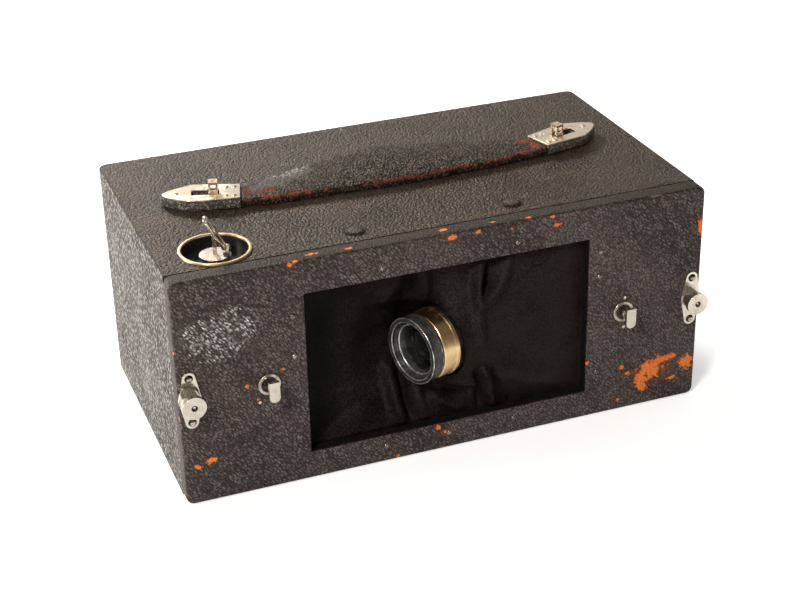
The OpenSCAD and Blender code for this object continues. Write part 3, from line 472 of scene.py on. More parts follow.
def buildCloth(g, coords, look, size=cloth):
    weave = g.use(clothWeave, Vector=coords, Scale=look["threads"])
    tone = g.timesAdd(weave["Fuzz"], look["fuzz"], weave["Tone"])
    if "lean" in look:  # painted shade: darker towards the left, paler towards the right
        tone = g.timesAdd(g.split(coords)[0], look["lean"], tone)
    return {"Base Color": g.mix(g.ramp(tone, *size["tone"]), look["dark"], look["pale"]),
            "Roughness": g.ramp(weave["Tone"], *size["rough"]), "Specular IOR Level": look["gloss"],
            "Normal": g.bump(weave["Height"], size["relief"], size["bump"] * mm)}


wood = {"rings": (8, 60, 60), "ringScale": 2.4, "pores": (90, 1400, 1400), "poreScale": 1,
        "tone": (0.35, 0.65), "pore": (0.6, 0.7), "rough": (0.2, 0.8, 0.5, 0.68), "relief": 0.3, "bump": 0.1}


def buildWood(g, coords, look, size=wood):
    rings = g.noise(g.vector("MULTIPLY", coords, size["rings"]), size["ringScale"], 6)
    pores = g.noise(g.vector("MULTIPLY", coords, size["pores"]), size["poreScale"], 2)
    colour = g.mix(g.ramp(rings, *size["tone"]), look["dark"], look["pale"])
    return {"Base Color": g.mix(g.ramp(pores, *size["pore"]), colour, look["pore"]),
            "Roughness": g.ramp(rings, *size["rough"]),
            "Normal": g.bump(pores, size["relief"], size["bump"] * mm)}


glass = {"smears": 180, "smear": (0.4, 0.8), "index": 1.52}


def buildGlass(g, coords, look, size=glass):
    smear = g.noise(coords, size["smears"], 4)
    return {"Base Color": g.mix(smear, look["tint"], look["deep"]), "Transmission Weight": 1,
            "IOR": size["index"], "Roughness": g.ramp(smear, *size["smear"], *look["shine"])}


coverLook = {
    "grain": 700, "relief": 0.5, "gloss": 0.35, "shine": (0.32, 0.46), "dark": (0.052, 0.039, 0.036),
    "pale": (0.092, 0.071, 0.066), "tip": (0.165, 0.135, 0.126), "crease": (0.014, 0.0105, 0.0095),
    "rubbed": (0.22, 0.165, 0.135),
}


def onFace(*spots, depth=2.6):  # spots of (x, z, rx, rz) on the front, kept from running round its edges
    return [(x, case["front"], z, rx, depth, rz) for x, z, rx, rz in spots]


def onUpperSide(*spots, depth=2):  # spots of (x, y, rx, ry) on top of the front board
    return [(x, y, board["top"], rx, ry, depth) for x, y, rx, ry in spots]


frontLook = dict(
    coverLook, box=((-board["half"], case["front"], 0), (board["half"], 40, board["top"])), edge=1.7,
    edgeAmount=0.36, streak=(-50, 2.6), grain=1050, relief=0.6, gloss=0.15, shine=(0.42, 0.56),
    dark=(0.070, 0.053, 0.049), pale=(0.138, 0.110, 0.104), tip=(0.205, 0.170, 0.161),
    # upper is painted shade on the side that faces up
    upper=(0.42, 0.355, 0.28), sparkle=[(-122, 0, 87, 13, 0, 12), (-109, 0, 91, 14, 0, 12),
                                        (-116, 0, 82, 15, 0, 9)],
    speck=(0.76, 0.75, 0.74), speckSize=1150, lining=(0.006, 0.005, 0.0045))
frontLook["patches"] = [
    {"light": (0.24, 0.11, 0.06), "deep": (0.09, 0.045, 0.03), "fray": 3.4, "amount": 0.45, "sunk": 0.3,
     "spots": onFace((112, 17, 15, 8), (-3, 9, 5, 3), (131, 50, 3, 3))},
    {"light": (1, 0.30, 0.075), "deep": (0.92, 0.19, 0.04), "fray": 4.6, "amount": 1, "sunk": 1,
     "spots": onFace(
         # the large patch low on the right, with its branches
         (110.5, 19.8, 7.6, 5.8), (105.5, 14.6, 4.2, 5.2), (116, 24, 5.2, 2.6), (122, 24.8, 3.6, 1.7),
         (131.5, 19.5, 4.2, 4.2), (106.5, 10.5, 2.8, 2.8), (122.5, 12, 2.8, 1.2), (93.6, 24.5, 1.4, 1.7),
         (97.6, 20.2, 1.3, 1.2), (92.4, 6, 1, 0.9),
         # specks along the edges and near the fittings
         (134.8, 97, 1.7, 5), (-129.6, 20.4, 1.5, 1.4), (-123, 22.2, 2.5, 1.8), (-136.6, 83, 0.4, 1.1),
         (-136.6, 48, 0.35, 1), (-103.5, 58.3, 1.4, 1.2), (-98.4, 49.6, 1, 0.9), (-85.5, 63.5, 1.1, 0.8),
         (-7.8, 12.9, 1.6, 1.4), (-29.3, 0.8, 1.3, 1.5), (-4, 9.6, 0.9, 1), (73.8, 31, 0.9, 1.3),
         # the upper edge, then the top of the board
         (-79.5, 116.8, 1.5, 0.9), (0.4, 115.6, 2.6, 1.3), (13.8, 116.2, 1.6, 1.2), (31.6, 114.2, 1.2, 0.9),
         (55.2, 112.2, 2.3, 0.8), (53, 116.9, 1.4, 0.8))
     + onUpperSide((-2.4, -70.5, 2.2, 1.2), (23, -71.8, 1.6, 0.9), (-67.4, -70.8, 2.6, 1.2),
                   (-49.2, -71.8, 2.1, 1), (40.6, -74, 1.7, 1), (-77, -74.8, 1.8, 0.9))},
]

sideLook = dict(
    coverLook, box=((-case["half"], case["seam"], -20), (case["half"], case["back"], case["top"])), edge=1.4,
    edgeAmount=0.28, dark=(0.031, 0.0185, 0.0105), pale=(0.064, 0.041, 0.0235), tip=(0.114, 0.076, 0.044),
    grain=640, gloss=0.2, shine=(0.36, 0.5), dirt=(0.006, 0.005, 0.004), ringFrom=0.72,
    # the ends' pale tip colour is painted sheen
    ends={"from": 135.3, "grain": 430, "dark": (0.022, 0.016, 0.0125), "tip": (0.31, 0.255, 0.22),
          "deeper": 0.9, "rough": 0.3, "index": 1.9},  # the last two are the polish's
    # painted shade in a ring round each plug cap
    rings=[(x, plugCaps["y"], 0, 6, 6, 0) for x in plugCaps["x"]])
sideLook["patches"] = [
    {"light": (0.20, 0.09, 0.06), "deep": (0.08, 0.04, 0.03), "fray": 3, "amount": 0.7, "sunk": 0.3,
     "spots": [(82, -31, 117.6, 5, 2, 5), (70, -34, 117.6, 4, 1.5, 5), (118, 38, 117.6, 1.2, 1.2, 4),
               (-30, -28, 117.6, 4, 2, 5)]}]
# the dark ring on each plug cap is painted shade in its groove
capLook = dict(
    coverLook, grain=900, relief=0.3, gloss=0.1, shine=(0.5, 0.65), dark=(0.07, 0.055, 0.042),
    pale=(0.12, 0.095, 0.075), dirt=(0.006, 0.005, 0.004), ringFrom=0.66,
    rings=[(x, plugCaps["y"], 0, 4.7, 4.7, 0) for x in plugCaps["x"]])
tabLook = dict(coverLook, grain=900, dark=(0.07, 0.062, 0.056), pale=(0.15, 0.135, 0.12),
               tip=(0.36, 0.33, 0.30), shine=(0.5, 0.65))

nickelLook = {"bright": (0.82, 0.775, 0.69), "tarnish": (0.52, 0.44, 0.34), "dark": (0.10, 0.065, 0.04),
              "tarnishing": 0.6, "specks": 0.35, "scale": 150, "shine": (0.1, 0.28), "metallic": 1,
              "relief": 0.12}
# a dark ring on the slope of each plate screw's head: painted shade
screwLook = dict(nickelLook, dirt=(0.035, 0.024, 0.018), ringFrom=0.42,
                 rings=[(x, 0, z, 2.2, 0, 2.2) for x in posts["x"] for z in posts["screwZ"]])
brassLook = {"bright": (0.62, 0.48, 0.30), "tarnish": (0.38, 0.25, 0.14), "dark": (0.10, 0.045, 0.02),
             "tarnishing": 0.9, "specks": 0.6, "scale": 190, "shine": (0.3, 0.5), "metallic": 1,
             "relief": 0.25}
blackLook = {"bright": (0.010, 0.010, 0.010), "tarnish": (0.026, 0.024, 0.022), "dark": (0.005, 0.005, 0.005),
             "tarnishing": 0.8, "specks": 0.4, "scale": 140, "shine": (0.2, 0.36), "metallic": 0,
             "relief": 0.1}

looks = {
    buildLeather: {
        "frontLeather": frontLook, "caseLeather": sideLook, "capLeather": capLook, "tabLeather": tabLook},
    buildMetal: {
        "agedNickel": nickelLook, "screwNickel": screwLook, "keyBrass": brassLook, "blackLacquer": blackLook,
        # a dark ring round the dimple of each post's head: painted shade
        "postNickel": dict(screwLook, dirt=(0.16, 0.12, 0.09),
                           rings=[(x, 0, window["centre"], 1.5, 0, 1.5) for x in posts["x"]]),
        "leverNickel": dict(nickelLook, bright=(0.70, 0.62, 0.55), tarnish=(0.30, 0.23, 0.17),
                            tarnishing=0.95, scale=240, shine=(0.26, 0.46)),
        "plateNickel": dict(nickelLook, bright=(0.88, 0.765, 0.61), tarnish=(0.68, 0.54, 0.38), scale=110,
                            shine=(0.24, 0.44)),
        "plainSteel": dict(nickelLook, bright=(0.46, 0.46, 0.47), tarnish=(0.33, 0.31, 0.29)),
        # the lens flange's darker side is painted shade
        "lensBrass": dict(brassLook, bright=(1, 0.74, 0.40), tarnish=(0.92, 0.56, 0.26), tarnishing=0.8,
                          lacquer=(0.22, 0.11, 0.05), shade=((-6, -68, 59), (0.2, 0.25, 0.95), 13)),
        "hoodLacquer": dict(blackLook, bright=(0.028, 0.027, 0.0265), tarnish=(0.08, 0.076, 0.073),
                            shine=(0.18, 0.32), bare=(0.86, 0.84, 0.80),
                            rims=[(21.4, 17), (21.4, 14.6), (15.2, 17), (18.6, 12.5)]),
        "tackMetal": dict(blackLook, bright=(0.16, 0.135, 0.12), tarnish=(0.5, 0.43, 0.38), tarnishing=1,
                          scale=420, shine=(0.14, 0.28), metallic=0.8)},
    buildCloth: {
        # the curtain's slope from a dark left to a pale right is painted shade
        "curtainCloth": {"threads": 9000, "lean": 4, "fuzz": 0.8, "gloss": 0.1,
                         "dark": (0.0012, 0.001, 0.0009), "pale": (0.0225, 0.0158, 0.0132)},
        "filmBacking": {"threads": 3000, "fuzz": 0.1, "gloss": 0.3, "dark": (0.04, 0.033, 0.045),
                        "pale": (0.07, 0.06, 0.075)}},
    buildWood: {
        "stainedBase": {"dark": (0.018, 0.012, 0.009), "pale": (0.045, 0.03, 0.022),
                        "pore": (0.008, 0.006, 0.005)}},
    buildGlass: {
        "lensGlass": {"tint": (0.93, 0.96, 0.95), "deep": (0.86, 0.9, 0.9), "shine": (0.02, 0.07)},
        "rubyGlass": {"tint": (0.50, 0.02, 0.015), "deep": (0.36, 0.012, 0.01), "shine": (0.03, 0.1)}},
}
materials = {name: newMaterial(name, build, look)
             for build, table in looks.items() for name, look in table.items()}
print("materials made:", len(materials))


def dress(piece, finish):
    piece.data.materials.clear()
    piece.data.materials.append(materials[finish])
    return piece


# front board with its leather: outer rim, front face, window wall and hollow back, as one ring of sections

frontCover = {"cornerRadius": 3.6, "leastRadius": 0.6, "edge": 1.3, "backEdge": 1.1, "windowEdge": 0.6,
              "windowRadius": 0.5, "skin": 3, "steps": 5, "faceRows": (0.1, 0.3, 0.5, 0.7, 0.9)}


def makeFrontCover(size):
    front, seam, edge, back, skin = case["front"], case["seam"], size["edge"], size["backEdge"], size["skin"]
    low, high = window["centre"] - window["halfHeight"], window["centre"] + window["halfHeight"]

    def outer(inset, y):
        radius = max(size["cornerRadius"] - inset, size["leastRadius"])
        return roundRect(board["half"] - inset, inset, board["top"] - inset, radius, y)

    def opening(grow, y):
        radius = size["windowRadius"] + max(grow, 0)
        return roundRect(window["halfWidth"] + grow, low - grow, high + grow, radius, y)

    turns = quarterTurns(size["steps"])
    rings = [outer(back * (1 - sin(a)), seam - back * (1 - cos(a))) for a in turns]
    rings += [outer(edge * (1 - cos(a)), front + edge * (1 - sin(a))) for a in turns]
    rim, mouth, lip = outer(edge, front), opening(size["windowEdge"], front), size["windowEdge"]
    rings += [[between(p, q, t) for p, q in zip(rim, mouth)] for t in size["faceRows"]]
    rings += [opening(lip * (1 - sin(a)), front + lip * (1 - cos(a))) for a in turns]
    rings += [opening(0, window["rebate"]), opening(skin, window["rebate"]), opening(skin, front + skin),
              outer(skin, front + skin), outer(skin, seam)]
    return loft("frontCover", rings, looped=True)


frontPiece = dress(makeFrontCover(frontCover), "frontLeather")
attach(frontPiece, "case")
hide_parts("front_board", "front_leather")
print("front cover made")


# leather over the top, the ends and the back of the case

caseCover = {"edge": 1.4, "thickness": 0.7, "seamGap": 1, "redWindow": 40, "redRadius": 7, "cut": 4,
             "sideSteps": 8, "cornerSteps": 12, "wallSteps": 6, "edgeSteps": 5}


def makeCaseCover(size):
    half, back, radius, top = case["half"], case["back"], case["cornerRadius"], case["top"]
    seam, cut = case["seam"] + size["seamGap"], size["cut"]
    sides, corners = size["sideSteps"], size["cornerSteps"]
    # plan of the case: place and outward direction
    path = [(-half, seam + (back - radius - seam) * k / sides, -1, 0) for k in range(sides + 1)]
    for side, start in ((-1, 180), (1, 90)):
        for k in range(corners + 1):
            a = radians(start - 90 * k / corners)
            c, s = cos(a), sin(a)
            path.append((side * (half - radius) + radius * c, back - radius + radius * s, c, s))
    path += [(half, back - radius + (seam - back + radius) * k / sides, 1, 0) for k in range(1, sides + 1)]
    profile = [(0, top * k / size["wallSteps"]) for k in range(size["wallSteps"])]
    profile += [(size["edge"] * (1 - cos(a)), top - size["edge"] * (1 - sin(a)))
                for a in quarterTurns(size["edgeSteps"])]
    points = [(x - nx * inset, y - ny * inset, z) for inset, z in profile for x, y, nx, ny in path]
    last = (len(profile) - 1) * len(path)
    faces = gridFaces(len(profile), len(path), False) + [tuple(last + i for i in range(len(path)))]
    piece = newPiece("caseCover", points, faces)
    wall = piece.modifiers.new("wall", "SOLIDIFY")
    wall.thickness, wall.offset, wall.use_even_offset = size["thickness"] * mm, -1, True
    settle(piece)
    for point in piece.data.vertices:
        point.co.z = max(point.co.z, 0)
    cup = roundBar("cupCutter", key["cupRadius"], (key["x"], key["y"], top - cut), (0, 0, 2 * cut))
    ruby = roundBar("rubyCutter", size["redRadius"], (0, back - cut, size["redWindow"]), (0, 2 * cut, 0))
    return cutOut(piece, [cup, ruby])


casePiece = dress(makeCaseCover(caseCover), "caseLeather")
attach(casePiece, "case")
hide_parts("case_leather")
print("case cover made")


# domed heads of the tacks round the window

tackHeads = {"radius": 1.4, "height": 0.8, "out": 5.9, "top": [-34.6, 34.8], "bottom": [-35, -1.8, 33.3],
             "left": [-33, 11.4, 32.6], "right": [-32.4, 21.9, 35.5], "sides": 20, "rows": 6}


def makeTackHeads(size):
    x, z = window["halfWidth"] + size["out"], window["halfHeight"] + size["out"]
    places = [(u, z) for u in size["top"]] + [(u, -z) for u in size["bottom"]]
    places += [(-x, u) for u in size["left"]] + [(x, u) for u in size["right"]]
    sides, rows = size["sides"], size["rows"]
    points, faces = [], []
    for px, pz in places:
        start = len(points)
        for a in quarterTurns(rows)[:-1]:
            r, out = size["radius"] * cos(a), size["height"] * sin(a)
            points += [(px + r * cos(b), case["front"] - out, window["centre"] + pz + r * sin(b))
                       for b in fullTurns(sides)]
        points.append((px, case["front"] - size["height"], window["centre"] + pz))
        faces += gridFaces(rows, sides, True, start)
        top = start + (rows - 1) * sides
        faces += [(top + i, top + (i + 1) % sides, len(points) - 1) for i in range(sides)]
        faces.append(tuple(range(start, start + sides)))
    return newPiece("tackHeads", points, faces)


tackPiece = dress(makeTackHeads(tackHeads), "tackMetal")
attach(tackPiece, "case")
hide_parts("front_tacks")
print("tack heads made")


# curtain: cloth gathered from the window to the lens collar, in four panels that share their seams

curtain = {
    "ring": 18.7, "ringBack": 3.1, "edge": (73.2, 42.7), "edgeY": -68.2, "onEdge": 0.01, "margin": 3.9,
    "thickness": 0.5, "rows": 40, "slack": (1.35, 0.75), "seamX": 36, "moveLeft": -9.1, "moveRight": 3.3,
    "moveZ": 18.7, "gather": 0.55, "pleats": 22, "gatherRise": 8, "gatherFade": 9, "lift": 1.6,
    "liftPeak": 0.8, "liftEnds": 0.5,
    # ring direction in degrees, point of the window's edge, columns on to the next pair
    "pairs": [(-60.5, 36, -1, 12), (-40, 73.2, -1, 34), (40, 73.2, 1, 12), (60.5, 36, 1, 60),
              (121.7, -36, 1, 12), (140, -73.2, 1, 34), (220, -73.2, -1, 12), (238.3, -36, -1, 60)],
    # folds as lines of (x, z) seen from the front, with height, below 0 in a creased valley, and half width
    "folds": [
        ([(-25, 43), (-25.5, 34), (-29, 24)], 3.4, 4.2), ([(-17.5, 43), (-17.3, 34), (-17.9, 24)], -2.2, 1.8),
        ([(-11.5, 43), (-11, 33), (-10, 22)], 3, 3.6), ([(26, 41), (22.5, 34), (18.5, 28)], -2.2, 2.6),
        ([(18.8, 43), (15.2, 32), (13.5, 23.6), (12.6, 14), (14, 2)], 3.6, 2.2),
        ([(33.6, 43), (32.4, 38), (29.3, 33.7), (24, 27.5), (17, 21.7)], 3.6, 2.4),
        ([(-26, -17), (-25.5, -30), (-24, -43)], 3.6, 3),
        ([(-20.6, -18), (-20.2, -31), (-18.8, -43)], -2.4, 1.8),
        ([(-15, -20), (-14, -32), (-12, -43)], 2.6, 3.2),
        ([(12.2, -15), (16, -29.7), (17.6, -43)], -2.2, 1.8),
        ([(16.2, -16), (20.4, -30), (24.4, -43)], 4.2, 2.2),
        ([(19.5, -17), (25.2, -30.7), (31.5, -43)], -2.2, 1.8),
        ([(1, -28), (11, -30)], -2.2, 3), ([(-2, -21.5), (12, -23.5)], 2.4, 2.6),
        ([(-6, -32), (6, -40)], 2, 3.4), ([(-40, 30), (-47, 0), (-43, -30)], 2, 9),
        ([(36, 4), (52, 8), (70, 5)], 1.6, 8), ([(30, -20), (48, -30), (66, -34)], 1.8, 6),
    ],
}


def lineDistance(x, z, line):
    gaps = []
    for (ax, az), (bx, bz) in zip(line, line[1:]):
        dx, dz = bx - ax, bz - az
        t = min(max(((x - ax) * dx + (z - az) * dz) / (dx * dx + dz * dz), 0), 1)
        gaps.append(hypot(x - ax - dx * t, z - az - dz * t))
    return min(gaps)


def curtainColumns(size):  # ring direction and window edge point of each column, and where each pair starts
    columns, starts = [], []
    pairs = size["pairs"]
    for k, (deg, x, s, count) in enumerate(pairs):
        nextDeg, nextX, nextS, _ = pairs[(k + 1) % len(pairs)]
        nextDeg += 360 if nextDeg < deg else 0
        starts.append(len(columns))
        for i in range(count):
            columnDeg, edgeX, edgeS = between((deg, x, s), (nextDeg, nextX, nextS), i / count)
            columns.append((columnDeg, edgeX, edgeS * size["edge"][1]))
    return columns, starts


def curtainPoint(size, column, t):
    deg, edgeX, edgeZ = column
    a = radians(deg)
    px, pz = size["ring"] * cos(a), size["ring"] * sin(a)
    c, s = cos(lens["swing"]), sin(lens["swing"])
    ringX, ringY = px * c - size["ringBack"] * s, -size["ringBack"] * c - px * s + lens["pivotY"]
    x, z = between((ringX, pz), (edgeX, edgeZ), t)
    depth = t ** (size["slack"][0] - size["slack"][1] * cos(a))
    folds = sum(h * exp(-(lineDistance(x, z, line) / w) ** 2) for line, h, w in size["folds"])
    lift = size["lift"] * folds * (sin(pi * t ** size["liftPeak"]) ** size["liftEnds"] if 0 < t < 1 else 0)
    lift += size["gather"] * cos(size["pleats"] * a) * t * size["gatherRise"] * exp(-size["gatherFade"] * t)
    return Vector((x, ringY + (size["edgeY"] - ringY) * depth - lift, z + window["centre"]))


def curtainHem(size, columns):  # the part clamped behind the battens
    hem = []
    for _, *corner in columns:
        grown = [v + copysign(size["margin"] if abs(v) > limit - size["onEdge"] else 0, v)
                 for v, limit in zip(corner, size["edge"])]
        hem.append(Vector((grown[0], size["edgeY"], grown[1] + window["centre"])))
    return hem


def makeCurtain(size):
    columns, starts = curtainColumns(size)
    count, rows = len(columns), size["rows"]
    grid = [[curtainPoint(size, column, j / rows) for column in columns] for j in range(rows + 1)]
    grid.append(curtainHem(size, columns))

    def normal(j, i):
        along = grid[min(j + 1, rows + 1)][i] - grid[max(j - 1, 0)][i]
        return (grid[j][(i + 1) % count] - grid[j][i - 1]).cross(along).normalized()

    normals = [[normal(j, i) for i in range(count)] for j in range(rows + 2)]
    facing = -1 if normals[rows // 2][0].y > 0 else 1
    spans = {"right": (starts[0], starts[3]), "top": (starts[3], starts[4]), "left": (starts[4], starts[7]),
             "bottom": (starts[7], count)}
    panels = {}
    for name, (first, last) in spans.items():
        picked = [(j, i % count) for j in range(rows + 2) for i in range(first, last + 1)]
        outward = [normals[j][i] * facing for j, i in picked]
        front, back = ([grid[j][i] + n * side * size["thickness"] / 2 for (j, i), n in zip(picked, outward)]
                       for side in (1, -1))
        width, total = last + 1 - first, len(front)
        faces = gridFaces(rows + 2, width, False)
        faces += [tuple(total + v for v in reversed(f)) for f in faces]
        rim = list(range(width)) + [width * j + width - 1 for j in range(1, rows + 2)]
        rim += [width * (rows + 1) + i for i in range(width - 2, -1, -1)]
        rim += [width * j for j in range(rows, 0, -1)]
        faces += [(a, b, total + b, total + a) for a, b in zip(rim, rim[1:] + rim[:1])]
        panel = newPiece("curtain" + name.capitalize(), front + back, faces, 180)
        panel.data.normals_split_custom_set_from_vertices(outward + [-n for n in outward])
        panels[name] = dress(panel, "curtainCloth")
    return panels


curtainPanels = makeCurtain(curtain)
curtainSpans = {   # each panel's still point and moving point, its flat cut and its area
    "left": ((-curtain["seamX"], 0), (curtain["moveLeft"], 0), (0.078, 0.104), 0.0064),
    "right": ((curtain["seamX"], 0), (curtain["moveRight"], 0), (0.088, 0.104), 0.0069),
    "top": ((0, curtain["edge"][1]), (0, curtain["moveZ"]), (0.074, 0.034), 0.0018),
    "bottom": ((0, -curtain["edge"][1]), (0, -curtain["moveZ"]), (0.074, 0.034), 0.0018),
}
for name, (still, moving, flat, area) in curtainSpans.items():
    panel = curtainPanels[name]
    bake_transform(panel)
    print("curtain panel", name, "area", round(sum(f.area for f in panel.data.polygons) / 2, 5))
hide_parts("curtain")
print("curtain made")


# strap of the handle, in two halves whose shape drops and turns from the grip to the end plates

strap = {"halfWidth": 18, "endHalf": 8.6, "narrow": 75.5, "taper": 0.8, "end": 80.7, "edge": 4.2,
         "crown": (1.9, 0.4), "crownFade": 1.5, "round": 1.25, "drop": 3.53, "bendFrom": 30, "turnFrom": 62,
         "tilt": 4, "tiltAt": -8, "tiltSpan": 34, "tiltFade": 4, "wrinkle": 0.22, "wrinkleAt": 66,
         "wrinkleSpan": 9, "wave": (1.3, 5), "under": 6, "corner": 4, "over": 16, "stations": 44,
         "offMiddle": 0.001, "blend": (10, 78), "blendZ": 120}


def smooth(value, low, high):
    t = min(max((value - low) / (high - low), 0), 1)
    return t * t * (3 - 2 * t)


def strapShape(size, x):  # share of the taper, half width, middle line and turn of the section at x
    t = min(abs(x) / size["narrow"], 1)
    wide = max(cos(radians(90) * t), 0) ** size["taper"]
    half = size["endHalf"] + (size["halfWidth"] - size["endHalf"]) * wide
    middle = handle["y"] - size["drop"] * smooth(abs(x), size["bendFrom"], size["end"])
    return t, half, middle, copysign(handle["turn"], x) * smooth(abs(x), size["turnFrom"], size["end"])


def strapSection(size, x):
    t, half, middle, turn = strapShape(size, x)
    thick, thin = size["crown"]
    edge, crown = size["edge"], thick + (thin - thick) * t ** size["crownFade"]
    r, low, steps, over = size["round"], handle["bottom"], size["corner"], size["over"]
    flat = half - r
    wrinkle = size["wrinkle"] * exp(-((abs(x) - size["wrinkleAt"]) / size["wrinkleSpan"]) ** 2)
    lift = size["tilt"] * exp(-((x - size["tiltAt"]) / size["tiltSpan"]) ** 2) * (1 - t ** size["tiltFade"])

    def corner(side, z, startDeg):
        return [(side * flat + r * cos(a), z + r * sin(a)) for a in quarterTurns(steps, startDeg)[1:]]

    ring = [(-half + r + 2 * flat * k / size["under"], low) for k in range(size["under"] + 1)]
    ring += corner(1, low + r, -90) + corner(1, low + edge - r, 0)
    for k in range(1, over):
        u = 1 - 2 * k / over
        bend = wrinkle * sin(x * size["wave"][0] + u * size["wave"][1]) * (1 - u * u)
        ring.append((u * flat, low + edge + crown * (1 - u * u) + bend))
    ring += corner(-1, low + edge - r, 90) + corner(-1, low + r, 180)[:-1]
    c, s = cos(turn), sin(turn)
    return [(x - s * u, middle + c * u, z + lift * (0.5 + 0.5 * u / half)) for u, z in ring]


unevenWear = {"phase": (5.1, 1.7), "inset": 0.5, "rise": 0.25, "longer": 0.5, "narrower": 0.3}


# spots of wear along the front or the back edge of the strap
def edgeSpots(places, side, height, radii, size=unevenWear):
    spots = []
    for k, x in enumerate(places):
        _, half, middle, turn = strapShape(strap, x)
        uneven = sin(size["phase"][0] * k + size["phase"][1] * side)
        out = side * (half - size["inset"] * uneven)
        spots.append((x - sin(turn) * out, middle + cos(turn) * out, height + size["rise"] * uneven,
                      radii[0] * (1 + size["longer"] * uneven), radii[1] * (1 - size["narrower"] * uneven),
                      radii[2]))
    return spots


strapLook = dict(
    coverLook, grain=640, relief=0.6, shine=(0.5, 0.66), gloss=0.12, dark=(0.020, 0.0125, 0.008),
    pale=(0.044, 0.029, 0.0195), tip=(0.155, 0.112, 0.08), sparkle=[(-52, 14, 123, 16, 7, 6)],
    speck=(0.46, 0.44, 0.41), speckSize=760)
strapLook["patches"] = [
    {"light": (0.22, 0.20, 0.185), "deep": (0.045, 0.039, 0.035), "fray": 2.8, "amount": 0.8, "sunk": 0.8,
     "spots": [(-62, 6, 122.5, 11, 9, 4), (-48, 10, 123, 10, 8, 4), (-72, 1, 122.5, 6, 7, 4)]},
    {"light": (0.34, 0.085, 0.045), "deep": (0.08, 0.026, 0.018), "fray": 4.6, "amount": 0.9, "sunk": 0.5,
     "spots": edgeSpots(range(-20, 62, 6), -1, 121.7, (4.2, 1.3, 1))
     + edgeSpots((-77, -70, -66, -57, -49, -40), -1, 121.7, (3.4, 2, 1.2))
     + edgeSpots((8, 46, 60), 1, 122.2, (4, 1.4, 1.3))
     + [(-77, 1, 122.4, 2, 6, 2), (-68, -3, 122.6, 5, 2.4, 2), (73, 5, 122.4, 5, 3, 2),
        (77, -2, 122.4, 2.4, 6, 2), (68, -8, 121.6, 6, 1.8, 1.6)]},
]
materials["strapLeather"] = newMaterial("strapLeather", buildLeather, strapLook)

for side, sideName in ((-1, "left"), (1, "right")):
    # the first station keeps its sign by lying just off the middle
    stations = [side * strap["end"] * max(k, strap["offMiddle"]) / strap["stations"]
                for k in range(strap["stations"] + 1)]
    half = loft(sideName + "Strap", [strapSection(strap, x) for x in stations], sharpDeg=60)
    dress(half, "strapLeather")
    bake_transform(half)
    if side < 0:
        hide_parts("handle_strap")
print("strap made")


# leather tabs under the end plates, turned on their staples

tab = {"from": 79.95, "length": 38.5, "nose": 15, "power": 1.6, "noseSteps": 12, "endHalf": 8.25,
       "half": 10.25, "slot": (90.15, 13.7, 6.2), "cut": (110, 130),
       # height and growth of each layer
       "layers": [(118, -0.2), (118.15, 0.25), (118.6, 0.62), (119.2, 0.7), (121.4, 0.7), (121.9, 0.6),
                  (122.25, 0.3), (122.39, 0)]}


def turned(side, x, y, z):
    c, s, out = cos(handle["turn"]), sin(handle["turn"]), x - handle["staple"]
    return side * (handle["staple"] + out * c - y * s), handle["y"] + out * s + y * c, z


def makeTab(side, name, size):
    start, nose = size["from"], size["nose"]
    wide = start + size["length"] - nose
    rings = []
    for z, grow in size["layers"]:
        outline = [(start, size["endHalf"] + grow), (start, 0), (start, -size["endHalf"] - grow)]
        for k in range(2 * size["noseSteps"] + 1):
            s = k / size["noseSteps"] - 1
            outline.append((wide + (nose + grow) * (1 - abs(s) ** size["power"]), (size["half"] + grow) * s))
        rings.append([turned(side, x, y, z) for x, y in outline])
    piece = loft(name, rings)
    slotX, length, width = size["slot"]
    corners = [(slotX, -width / 2), (slotX + length, -width / 2), (slotX + length, width / 2),
               (slotX, width / 2)]
    box = loft(name + "Cutter", [[turned(side, x, y, z) for x, y in corners] for z in size["cut"]])
    return cutOut(piece, [box])


for side, sideName in ((-1, "left"), (1, "right")):
    piece = dress(makeTab(side, sideName + "Tab", tab), "tabLeather")
    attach(piece, sideName + "_handle_end")
    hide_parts(sideName + "_handle_tab")
print("handle tabs made")


# spring between the case and the lens yoke

spring = {"radius": 2.4, "wire": 0.45, "turns": 12, "z": 12, "from": (13, -61.52), "to": (47.7, -56),
          "sides": 8, "perTurn": 14}


def makeSpring(size):
    start, goal = Vector((*size["from"], size["z"])), Vector((*size["to"], size["z"]))
    along = (goal - start).normalized()
    side, up = Vector((-along.y, along.x, 0)), Vector((0, 0, 1))
    rings = []
    steps = size["turns"] * size["perTurn"]
    for k in range(steps + 1):
        a = 2 * pi * k / size["perTurn"]
        out = side * cos(a) + up * sin(a)
        centre = start + (goal - start) * (k / steps) + out * size["radius"]
        rings.append([centre + size["wire"] * (out * cos(b) + along * sin(b))
                      for b in fullTurns(size["sides"])])
    return loft("swingSpring", rings)


springPiece = dress(makeSpring(spring), "plainSteel")
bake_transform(springPiece)
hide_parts("swing_spring")
print("spring made")


# finishes and rounded edges of the CAD pieces that stay

def both(name):
    return ["left_" + name, "right_" + name]


